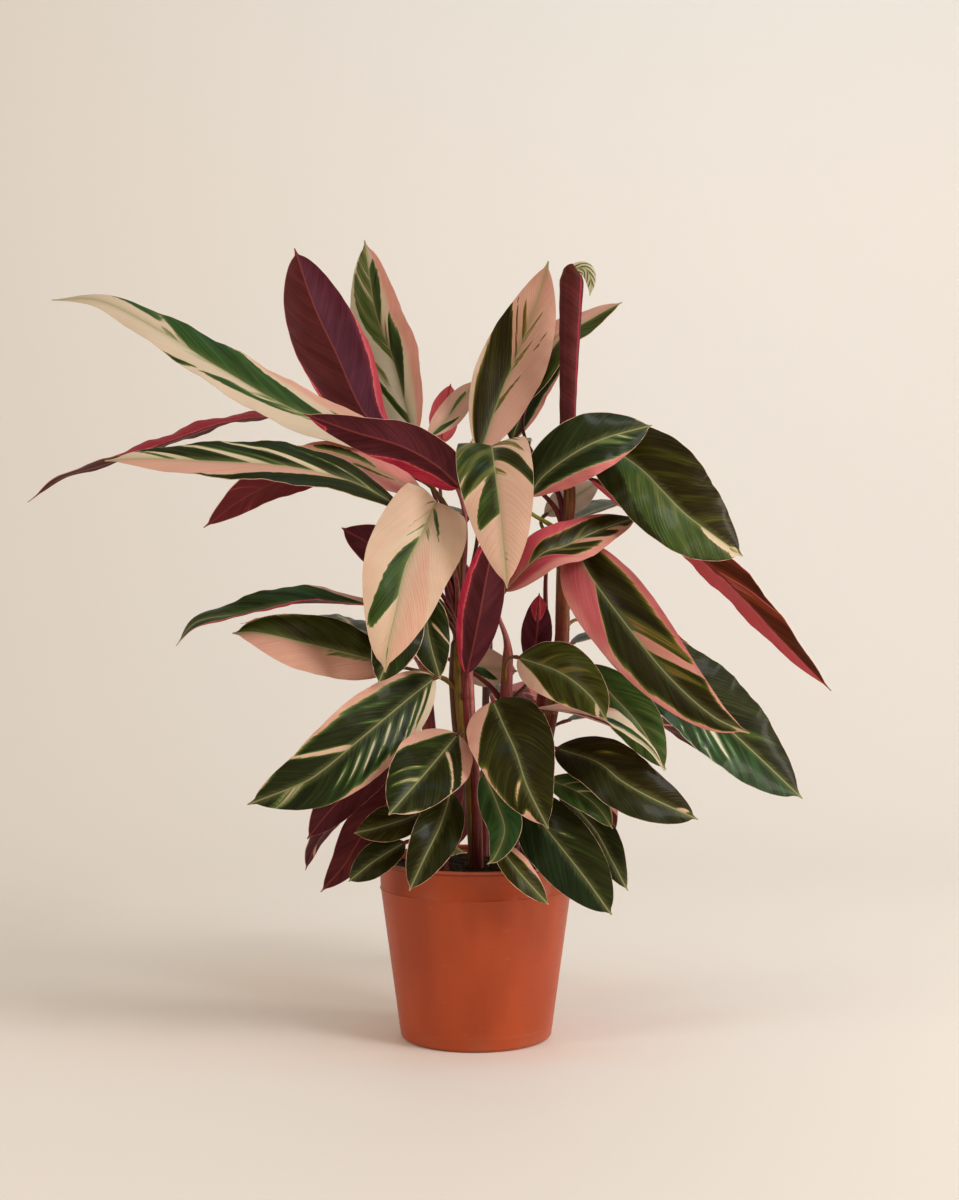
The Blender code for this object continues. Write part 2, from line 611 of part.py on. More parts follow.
def build_rolled_leaf(material, parts):
    """A blade rolled about its own length, wider at the top, with a pointed free corner."""
    places = [real_place(entry[:3]) for entry in ROLLED_AXIS]
    path, length = smooth_path(places, ROLL_ROWS)
    bm = bmesh.new()
    bmesh.ops.create_grid(bm, x_segments=ROLL_COLUMNS, y_segments=ROLL_ROWS, size=1)
    for vert in bm.verts:
        around, along = (vert.co.x + 1) / 2, (vert.co.y + 1) / 2
        place = path[round(along * ROLL_ROWS)]
        spot = along * (len(ROLLED_AXIS) - 1)
        low = min(int(spot), len(ROLLED_AXIS) - 2)
        radius = ROLLED_AXIS[low][3] + (ROLLED_AXIS[low + 1][3] - ROLLED_AXIS[low][3]) * (spot - low)
        radius -= ROLL_STEP * (1 - around)
        angle = 2 * math.pi * ROLL_TURNS * around - 0.6 * math.pi
        lift = ROLL_POINT * around ** 2 * along ** 6
        vert.co = place + Vector((radius * math.cos(angle), radius * math.sin(angle), lift)) * MM
    bmesh.ops.triangulate(bm, faces=bm.faces)
    leaf_object = add_object("rolled_leaf", finished_mesh("rolled_leaf", bm), material, parts)
    add_thickness(leaf_object, THICKNESS)


def shoot_cane(foot_x, foot_y, lean_x, lean_y, top):
    """A slim cane straight up out of the soil that then leans."""
    rows = [(0, STEM_FOOT, 4.5), (0, SOIL_TOP + 8, 4.5), (0.5, (SOIL_TOP + top) / 2, 4), (1, top, 3)]
    return [(Vector((foot_x + lean_x * lean, foot_y + lean_y * lean, height)) * MM, radius * MM)
            for lean, height, radius in rows]


def main():
    for obj in list(bpy.data.objects):
        bpy.data.objects.remove(obj)
    parts = new_collection("Potted stromanthe", bpy.context.scene.collection)
    cutters = new_collection("Cutters", bpy.context.scene.collection)
    plastic = new_material("Terracotta plastic", (0.72, 0.22, 0.08), 0.45)
    earth = new_material("Potting soil", (0.045, 0.028, 0.018), 0.95)
    stalk = new_material("Purple stalk", (0.16, 0.05, 0.07), 0.5)
    green = new_material("Leaf", (0.06, 0.13, 0.06), 0.35)

    front = {name: [(real_place(entry[:3]), entry[3] * MM) for entry in entries]
             for name, entries in CANES.items()}
    back = {name: shoot_cane(*numbers) for name, numbers in BACK_SHOOTS.items()}
    build_pot(plastic, parts, cutters)
    build_soil({**front, **back}, earth, parts, cutters)
    blades = {}
    for name, form in LEAVES.items():
        mesh, start, way = front_blade(name, form)
        blade = add_object(name, mesh, green, parts)
        add_thickness(blade, THICKNESS)
        blades[name] = (start, way)
    build_rolled_leaf(green, parts)
    build_front_stems(blades, front, stalk, parts)
    build_back_shoots(back, green, parts)


main()
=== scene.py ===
"""Potted stromanthe: large variegated leaves, their stalks and canes, soil and a plastic grow pot.

A Blender add-on that is run as a script. Metres, +Z up. The leaf and cane tables are in
millimetres, and every midrib is written as (across, depth, height): its place on the upright plane
through the pot's centre as seen from EYE, and how far behind that plane it is.
"""

import math
import random

import bmesh
import bpy
from bpy.props import FloatProperty, FloatVectorProperty, IntProperty, PointerProperty
from mathutils import Matrix, Vector, noise


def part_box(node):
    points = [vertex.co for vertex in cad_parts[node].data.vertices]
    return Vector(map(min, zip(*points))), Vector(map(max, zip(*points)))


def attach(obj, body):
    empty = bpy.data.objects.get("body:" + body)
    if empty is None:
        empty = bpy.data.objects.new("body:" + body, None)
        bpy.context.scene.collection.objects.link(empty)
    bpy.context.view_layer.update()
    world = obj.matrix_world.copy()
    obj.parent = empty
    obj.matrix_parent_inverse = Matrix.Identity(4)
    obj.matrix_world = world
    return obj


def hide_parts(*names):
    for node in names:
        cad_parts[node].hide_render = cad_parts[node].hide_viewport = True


bl_info = {
    "name": "Potted Stromanthe",
    "version": (1, 0, 0),
    "blender": (4, 5, 0),
    "location": "View3D > Sidebar > Stromanthe",
    "description": "Models a potted stromanthe with variegated leaves in a terracotta plastic pot",
    "category": "Add Mesh",
}

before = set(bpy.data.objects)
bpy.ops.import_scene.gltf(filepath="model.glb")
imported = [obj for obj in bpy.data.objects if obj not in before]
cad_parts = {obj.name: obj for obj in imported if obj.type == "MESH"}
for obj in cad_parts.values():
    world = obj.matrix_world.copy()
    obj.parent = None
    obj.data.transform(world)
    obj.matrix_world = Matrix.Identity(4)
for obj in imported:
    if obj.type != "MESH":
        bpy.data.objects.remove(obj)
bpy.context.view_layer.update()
POT_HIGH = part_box("pot")[1]
SOIL_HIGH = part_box("soil")[1]

MM = 0.001
EYE = Vector((3, -1566, 378))
UP = Vector((0, 0, 1))

# Photograph: its height and its camera's focal length in pixels, and the frame's height in mm
IMAGE_HEIGHT = 1200
FOCAL_PIXELS = 1800
SENSOR = 36

# Pot, the same sizes as the solid
BEAD_HEIGHT = 129
BEAD_RADIUS = 82.8
WALL = 1.6
LIP_OUT = 1
LIP_HEIGHT = 3
FOOT_RADIUS = 65
FOOT_ROUND = 4
FLOOR = 2
DRAIN_COUNT = 6
DRAIN_RADIUS = 6
DRAIN_CIRCLE = 42
SOIL_TOP = 146
RIM_ROUND = 0.8
INNER_ROUND = 0.6
CORNER_ROUND = 3
BEAD_SWELL = 0.7
BEAD_HALF = 1.3
RIDGE_SWELL = 0.22
RIDGE_HEIGHT = 12
SOIL_RINGS = 44
SOIL_GAP = 0.3

# Blades
THICKNESS = 0.45
CURVE_STEPS = 40
# Edges sharper than these, in degrees, stay sharp in the shading
BLADE_ANGLE = 50
TUBE_ANGLE = 60
POT_ANGLE = 35
BASE_HALF_WIDTH = 1.5
TIP_HALF_WIDTH = 0.5
BACK_ROWS = 84
SMALL_ROWS = 40
BLADE_COLUMNS = 32
LEAST_ROWS = 52
MOST_ROWS = 110
# From TAPER_START on, a blade's half width is at least TIP_TAPER times the share of its length
# that is left, so that its tip isn't a thin spine
TIP_TAPER = 2
TAPER_START = 0.9
WAVE_LENGTH = 55
WAVE_SHIFT = 1.3
FOLD_AT_BASE = 0.1
OVAL_END = 0.97
SHORT_LEAF = 120
LONG_STATION = 0.5
SHORT_STATION = 0.6
# How the columns crowd towards the midrib
SPREAD_POWER = 1.1
# Uneven margin, crown of each half and fine ripple, as shares of the half width
UNEVEN_EDGE = 0.02
UNEVEN_RATE = 9
CROWN = 0.06
RIPPLE = 0.018
RIPPLE_LENGTH = 17
# How much more a side vein leans towards the tip at the margin than at the midrib
VEIN_CURVE = 0.5
# Scales of the pattern on a blade, along the veins and across them, per metre
VEIN_SCALE = 10
ACROSS_SCALE = 100
# What a blade's material reads at its points besides the pattern's place: the shade and the blush
# of the marking, the tint, and the distance from the margin in widths of its pale line
BLADE_LAYERS = ("pale", "blush", "tone", "edge")
FAR_FROM_EDGE = 9
# Soft edges of a patch of marking: in shares of the length and of the half width, and how
# far streaks fray them
SOFT_ALONG = 0.016
SOFT_ACROSS = 0.16
FRAY = 0.1
FRAY_LENGTH = 26
# A patch that starts this far off the midrib and reaches the margin thins towards its ends
MARGIN_PATCH = 0.25
PAST_MARGIN = 1.1
PATCH_SHARPNESS = 1.6
PATCH_RISE = 0.35
# Any other narrows outward: how much later it starts at its outer end, and how much sooner it ends
FLAME_TIP = 0.95
FLAME_LEAN = 0.6
BAND_LEAN = 0.3
BAND_TRIM = 0.1

# Blades at the back, as in the solids
BACK_START = 40
BACK_RISE = 70
BACK_ARCH_PIECES = 5
BACK_OVERLAP = 4
BACK_BEND = 1.5
BACK_FORM = {"fold": 12, "wave": 1.5, "widest": 0.47, "full": 0.66}

# Stalks
STEM_FOOT = 90
PETIOLE_TOP_RADIUS = 1.3
PETIOLE_ROOT_RADIUS = 2.2
PETIOLE_BEND = 0.45
LEAST_RISE = 45
BELOW_TOP = 4
ABOVE_SOIL = 6
SHEATH_LENGTH = 70
SHEATH_STEPS = 6
SHEATH_FOOT_RADIUS = 6.6
SHEATH_TAPER = 2.0
SHEATH_LEAN = 2.2
STALK_STEPS = 24
STALK_SIDES = 10
STALK_OVERLAP = 3
ROOT_SWELL = 2.4
ROOT_FADE = 7
JOINT_SWELL = 0.55
JOINT_PLACE = 0.93
JOINT_SPREAD = 0.045
CANE_STEPS = 48
CANE_TOP_SHARE = 0.7
# The cane's core and the sheaths around it, as shares of its radius, and how far they wind, in radians
CORE_SHARE = 0.72
STRAND_SHARE = 0.38
STRAND_REACH = 0.98
STRAND_TWIST = 0.8
STRAND_SWAY = 0.25
STRAND_SWELL = 0.07

# Stalk colours, linear
BROWN = (0.10, 0.035, 0.015)
OLIVE = (0.17, 0.10, 0.012)
LIME = (0.26, 0.24, 0.03)
ROSE = (0.36, 0.11, 0.10)
RED = (0.17, 0.022, 0.018)
PURPLE = (0.075, 0.012, 0.022)
TAN = (0.30, 0.16, 0.06)


def leaf(stem, width, turn, points, fold=10, wave=1.5, widest=0.47, full=0.66, joins=None):
    """A blade's form. turn is the angle in degrees between its upper face and EYE, about the midrib.

    fold lifts both halves off the midrib's plane, widest is where the blade is widest, from 0 at
    its base to 1 at its tip, a smaller full makes a blunter oval, and joins is the height on the
    cane where its stalk leaves.
    """
    return {
        "stem": stem,
        "width": width,
        "turn": turn,
        "points": points,
        "fold": fold,
        "wave": wave,
        "widest": widest,
        "full": full,
        "joins": joins,
    }


LEAVES = {
    # Upright leaves at the top
    "leaf_top_1": leaf(
        "cane_left", 66, 165, [(-73, 15, 517), (-99, 30, 543), (-121, 45, 591), (-141, 55, 634),
        (-158, 50, 684)], fold=8, full=0.58, widest=0.55),
    "leaf_top_2": leaf(
        "cane_left", 60, 25, [(-53, 40, 519), (-61, 60, 547), (-73, 80, 591), (-87, 88, 628),
        (-97, 90, 691)], fold=10, full=0.6, widest=0.5),
    "leaf_top_3": leaf(
        "cane_left", 61, 10, [(4, 10, 506), (21, 28, 556), (39, 38, 599), (55, 38, 645), (63, 30, 673)],
        full=0.72),
    "leaf_top_4": leaf(
        "cane_right", 38, 30, [(31, 45, 517), (46, 62, 554), (60, 70, 580), (66, 72, 616)], joins=430),
    "leaf_top_5": leaf(
        "cane_right", 36, 40, [(45, 35, 552), (70, 42, 601), (103, 50, 624), (127, 52, 637)], joins=440),
    "leaf_top_6": leaf("cane_left", 28, 170, [(-30, 62, 515), (-27, 74, 540), (-22, 80, 566)]),
    "leaf_top_7": leaf("cane_left", 25, 20, [(-41, 28, 520), (-25, 42, 536), (-9, 56, 556), (8, 64, 570)]),
    # Leaves that reach to the left
    "leaf_left_1": leaf(
        "cane_left", 47, -38, [(-57, -40, 508), (-153, -60, 541), (-222, -70, 579), (-275, -70, 612),
        (-327, -62, 638), (-369, -50, 639)], full=0.75, widest=0.4),
    "leaf_left_2": leaf(
        "cane_left", 40, -105, [(-66, -5, 521), (-153, 6, 536), (-215, 24, 532), (-275, 46, 512),
        (-327, 64, 495), (-362, 78, 484), (-390, 88, 463)], fold=8),
    "leaf_left_3": leaf(
        "cane_left", 48, -48, [(-66, -76, 459), (-109, -98, 481), (-165, -114, 494), (-240, -126, 499),
        (-292, -132, 501), (-323, -134, 499)]),
    "leaf_left_4": leaf(
        "cane_left", 45, -140, [(-75, -30, 489), (-144, -36, 490), (-196, -38, 470), (-237, -34, 441)]),
    "leaf_left_5": leaf(
        "cane_left", 42, -155, [(-14, -58, 476), (-36, -78, 496), (-66, -92, 512), (-109, -102, 525),
        (-150, -104, 540)], widest=0.35),
    "leaf_left_6": leaf(
        "cane_left", 36, -40, [(-46, -38, 470), (-83, -54, 489), (-118, -62, 504), (-155, -68, 512)]),
    "leaf_left_7": leaf("cane_left", 46, -150, [(-50, -36, 384), (-80, -50, 418), (-117, -56, 441)]),
    "leaf_left_8": leaf(
        "cane_left", 44, -68, [(-79, -62, 373), (-153, -92, 375), (-201, -108, 366), (-242, -116, 359),
        (-261, -116, 338)], fold=24),
    "leaf_left_9": leaf(
        "cane_left", 52, -20, [(-71, -52, 321), (-99, -66, 328), (-144, -84, 339), (-188, -96, 349),
        (-212, -102, 349)]),
    # Leaves that reach to the right
    "leaf_right_1": leaf(
        "cane_right", 54, 10, [(46, -40, 469), (60, -44, 487), (86, -44, 506), (113, -38, 519),
        (153, -25, 530)]),
    "leaf_right_2": leaf(
        "cane_right", 82, 20, [(102, 0, 520), (141, -12, 494), (164, -18, 471), (183, -18, 452),
        (207, -8, 434), (232, 8, 416)], full=0.62, widest=0.42),
    "leaf_right_3": leaf(
        "cane_right", 46, 132, [(99, 14, 484), (154, 34, 450), (197, 48, 415), (232, 58, 381),
        (267, 66, 343), (309, 72, 299)]),
    "leaf_right_4": leaf(
        "cane_middle", 44, 30, [(25, -36, 386), (56, -44, 417), (78, -34, 425), (108, -16, 439),
        (141, 2, 450)]),
    "leaf_right_5": leaf(
        "cane_right", 64, 5, [(86, -8, 424), (103, -34, 394), (139, -64, 346), (170, -80, 309),
        (206, -90, 277), (238, -92, 262)], widest=0.36),
    "leaf_right_6": leaf(
        "cane_right", 82, 32, [(95, 20, 360), (130, 14, 338), (180, 12, 300), (228, 20, 258),
        (284, 40, 205)], full=0.6, widest=0.52),
    "leaf_right_7": leaf("cane_right", 30, 30, [(60, 22, 452), (86, 30, 467), (108, 34, 482)]),
    "leaf_right_8": leaf(
        "cane_right", 44, 10, [(95, -6, 321), (119, -24, 295), (143, -32, 268), (165, -30, 230)]),
    # Leaves that arch over and hang at the front
    "leaf_front_1": leaf(
        "cane_left", 63, 0, [(21, -12, 489), (14, -52, 512), (16, -90, 496), (21, -110, 456),
        (25, -124, 412), (27, -128, 388)]),
    "leaf_front_2": leaf(
        "cane_left", 75, 5, [(-33, -34, 444), (-35, -62, 463), (-48, -90, 434), (-62, -106, 404),
        (-70, -118, 369), (-78, -122, 334), (-79, -120, 315)]),
    "leaf_front_3": leaf(
        "cane_middle", 68, 0, [(15, -58, 290), (25, -86, 267), (35, -106, 245), (45, -122, 215),
        (63, -132, 179)], widest=0.38),
    "leaf_front_4": leaf(
        "shoot_front_left", 61, -10, [(-16, -62, 261), (-35, -98, 238), (-53, -124, 217),
        (-76, -144, 191)], full=0.6),
    "leaf_front_5": leaf(
        "shoot_front_right", 32, 0, [(7, -52, 227), (19, -78, 199), (25, -92, 177), (17, -102, 155),
        (10, -104, 148)]),
    "leaf_front_6": leaf(
        "shoot_front_right", 24, 20, [(19, -78, 166), (28, -92, 153), (42, -100, 136), (63, -98, 113)]),
    # Leaves among the stems
    "leaf_inner_1": leaf(
        "cane_left", 38, 172, [(-8, -42, 314), (2, -52, 360), (12, -58, 414), (20, -62, 446)]),
    "leaf_inner_2": leaf("cane_left", 42, 10, [(-57, -66, 378), (-70, -92, 343), (-85, -98, 305)]),
    "leaf_inner_3": leaf("cane_left", 36, 10, [(-44, -52, 386), (-41, -68, 347), (-31, -72, 309)]),
    "leaf_inner_4": leaf("cane_left", 32, 172, [(-5, 22, 343), (-12, 32, 386), (-22, 36, 423)]),
    "leaf_inner_5": leaf("cane_middle", 38, 20, [(-20, 30, 326), (8, 36, 319), (36, 38, 316)]),
    "leaf_inner_6": leaf("cane_middle", 28, 175, [(50, 12, 318), (53, 20, 350), (55, 22, 384)]),
    # Low leaves at the left
    "leaf_low_left_1": leaf(
        "cane_left", 66, 14, [(-36, -38, 310), (-59, -64, 292), (-101, -96, 257), (-132, -110, 231),
        (-153, -114, 218), (-199, -108, 200)], fold=12),
    "leaf_low_left_2": leaf(
        "shoot_front_left", 44, -150, [(-66, -46, 251), (-101, -62, 221), (-127, -70, 195),
        (-147, -74, 170)]),
    "leaf_low_left_3": leaf(
        "shoot_front_left", 38, -160, [(-48, -22, 225), (-75, -30, 204), (-99, -38, 173),
        (-115, -42, 147), (-135, -42, 124)]),
    "leaf_low_left_4": leaf(
        "shoot_front_left", 34, -25, [(-48, -58, 193), (-62, -70, 187), (-88, -84, 179), (-106, -88, 175)]),
    "leaf_low_left_5": leaf(
        "shoot_front_left", 30, -20, [(-62, -56, 167), (-88, -66, 151), (-111, -68, 133)]),
    "leaf_low_left_6": leaf(
        "shoot_front_left", 40, 0, [(-22, -56, 211), (-31, -84, 182), (-45, -100, 153), (-58, -104, 125)]),
    # Low leaves at the right
    "leaf_low_right_1": leaf(
        "cane_middle", 50, 5, [(37, -44, 328), (73, -84, 315), (99, -102, 295), (114, -108, 273)]),
    "leaf_low_right_2": leaf(
        "shoot_front_right", 36, 72, [(52, -54, 284), (87, -78, 278), (126, -92, 264), (152, -94, 247),
        (164, -92, 229)], fold=30),
    "leaf_low_right_3": leaf(
        "shoot_front_right", 52, 20, [(70, -50, 249), (105, -80, 237), (126, -90, 221), (150, -94, 207),
        (193, -88, 187)], full=0.6),
    "leaf_low_right_4": leaf(
        "shoot_front_right", 55, 0, [(39, -52, 208), (62, -78, 178), (82, -90, 153), (99, -94, 131),
        (118, -92, 104)], full=0.6),
    "leaf_low_right_5": leaf(
        "shoot_front_right", 32, 20, [(73, -30, 212), (102, -48, 180), (118, -56, 152), (132, -58, 125)]),
    "leaf_low_right_6": leaf(
        "shoot_front_right", 28, 20, [(62, -64, 222), (88, -84, 211), (106, -92, 197), (119, -94, 179)]),
    # A dried scrap of leaf that lies over the rim
    "dry_leaf": leaf(
        "shoot_front_left", 12, -60, [(-9, -66, 158), (-16, -78, 157), (-28, -88, 156)], wave=0.5),
}

# Canes and short shoots: (across, depth, height, radius) up each axis
CANES = {
    "cane_left": [(0, -22, STEM_FOOT, 7), (0, -22, 150, 7), (-4, -22, 220, 8), (-10, -20, 265, 11),
                  (-13, -18, 310, 12), (-14, -16, 345, 8)],
    "cane_middle": [(18, 4, STEM_FOOT, 5), (18, 4, 150, 5), (22, 2, 220, 6), (26, 0, 290, 6),
                    (28, -4, 335, 4)],
    "cane_right": [(44, 22, STEM_FOOT, 5), (44, 22, 150, 5), (54, 18, 220, 5.5), (66, 12, 285, 6),
                   (75, 6, 343, 5), (76, 2, 403, 4.5), (80, 0, 460, 4.4), (80, 0, 505, 4.1),
                   (80, 0, 540, 3.8)],
    "shoot_front_left": [(-30, -38, STEM_FOOT, 4.5), (-30, -38, 150, 4.5), (-29, -40, 175, 3.5)],
    "shoot_front_right": [(30, -36, STEM_FOOT, 4.5), (30, -36, 150, 4.5), (32, -38, 185, 3.5)],
}

# Leafy shoots behind the pot's centre: foot x, foot y, lean x, lean y, height of the top
BACK_SHOOTS = {
    "back_shoot_left": (-36, 34, -10, 26, 330),
    "back_shoot_middle": (6, 50, 4, 24, 380),
    "back_shoot_right": (44, 50, 20, 22, 330),
}
# Their leaves: heading in degrees from +X, reach, height of the blade's base, rise, droop, width
BACK_LEAVES = {
    "back_shoot_left": [(128, 240, 478, 20, 14, 58), (138, 220, 338, 16, 14, 56),
                        (118, 190, 236, 24, 40, 58), (150, 130, 190, 10, 50, 44)],
    "back_shoot_middle": [(84, 240, 470, 44, 34, 62), (104, 220, 455, 16, 30, 58),
                          (76, 200, 288, 16, 34, 58), (98, 170, 214, 10, 50, 54)],
    "back_shoot_right": [(48, 220, 452, 20, 26, 60), (40, 200, 338, 16, 34, 58),
                         (32, 190, 268, 10, 30, 56), (58, 150, 205, 10, 46, 50)],
}

# The newest leaf, still rolled into a tube on top of the right cane: (across, depth, height, radius)
ROLLED_AXIS = [(80, 0, 522, 8), (81, 0, 569, 9), (82.5, 0, 621, 10.5), (84, 0, 658, 12)]
ROLL_TIP = [(79, -3, 660), (87, -9, 666), (95, -11, 666), (99, -10, 660), (100, -9, 652), (99, -8, 643)]
ROLL_TURNS = 1.35
ROLL_STEP = 3.2
ROLL_COLUMNS = 90
ROLL_ROWS = 60
ROLL_POINT = 11
ROLL_SEAM = math.radians(-48)
ROLL_SWAY = 0.2
ROLL_CLOSE = 0.3
ROLL_WIDTH = 12
ROLL_SLANT = 0.4


# Markings. A patch is (half, start, end, inner, outer, shade, blush): the half of the blade as
# seen on its upper face with the tip upward, from start to end of its length, from inner to
# outer between the midrib and the margin. shade goes from 0, dark green, to 1, without green,
# and blush from 0, cream, to 1, crimson.
LEFT, RIGHT = -1, 1


def look(*patches, ground=0.0, blush=0.35, tone=(0.0, 0.0), edge=0.48, lag=1.2):
    """A blade's markings. ground is the shade where no patch is, tone, for the left and the
    right half, tints the green from -1, bluish, to 1, brown, edge is the width in mm of the pale
    line at the margin, and lag is how far towards the tip the side veins run as they go outward."""
    return {"patches": patches, "ground": ground, "blush": blush, "tone": tone, "edge": edge,
            "lag": lag}


PLAIN = look()

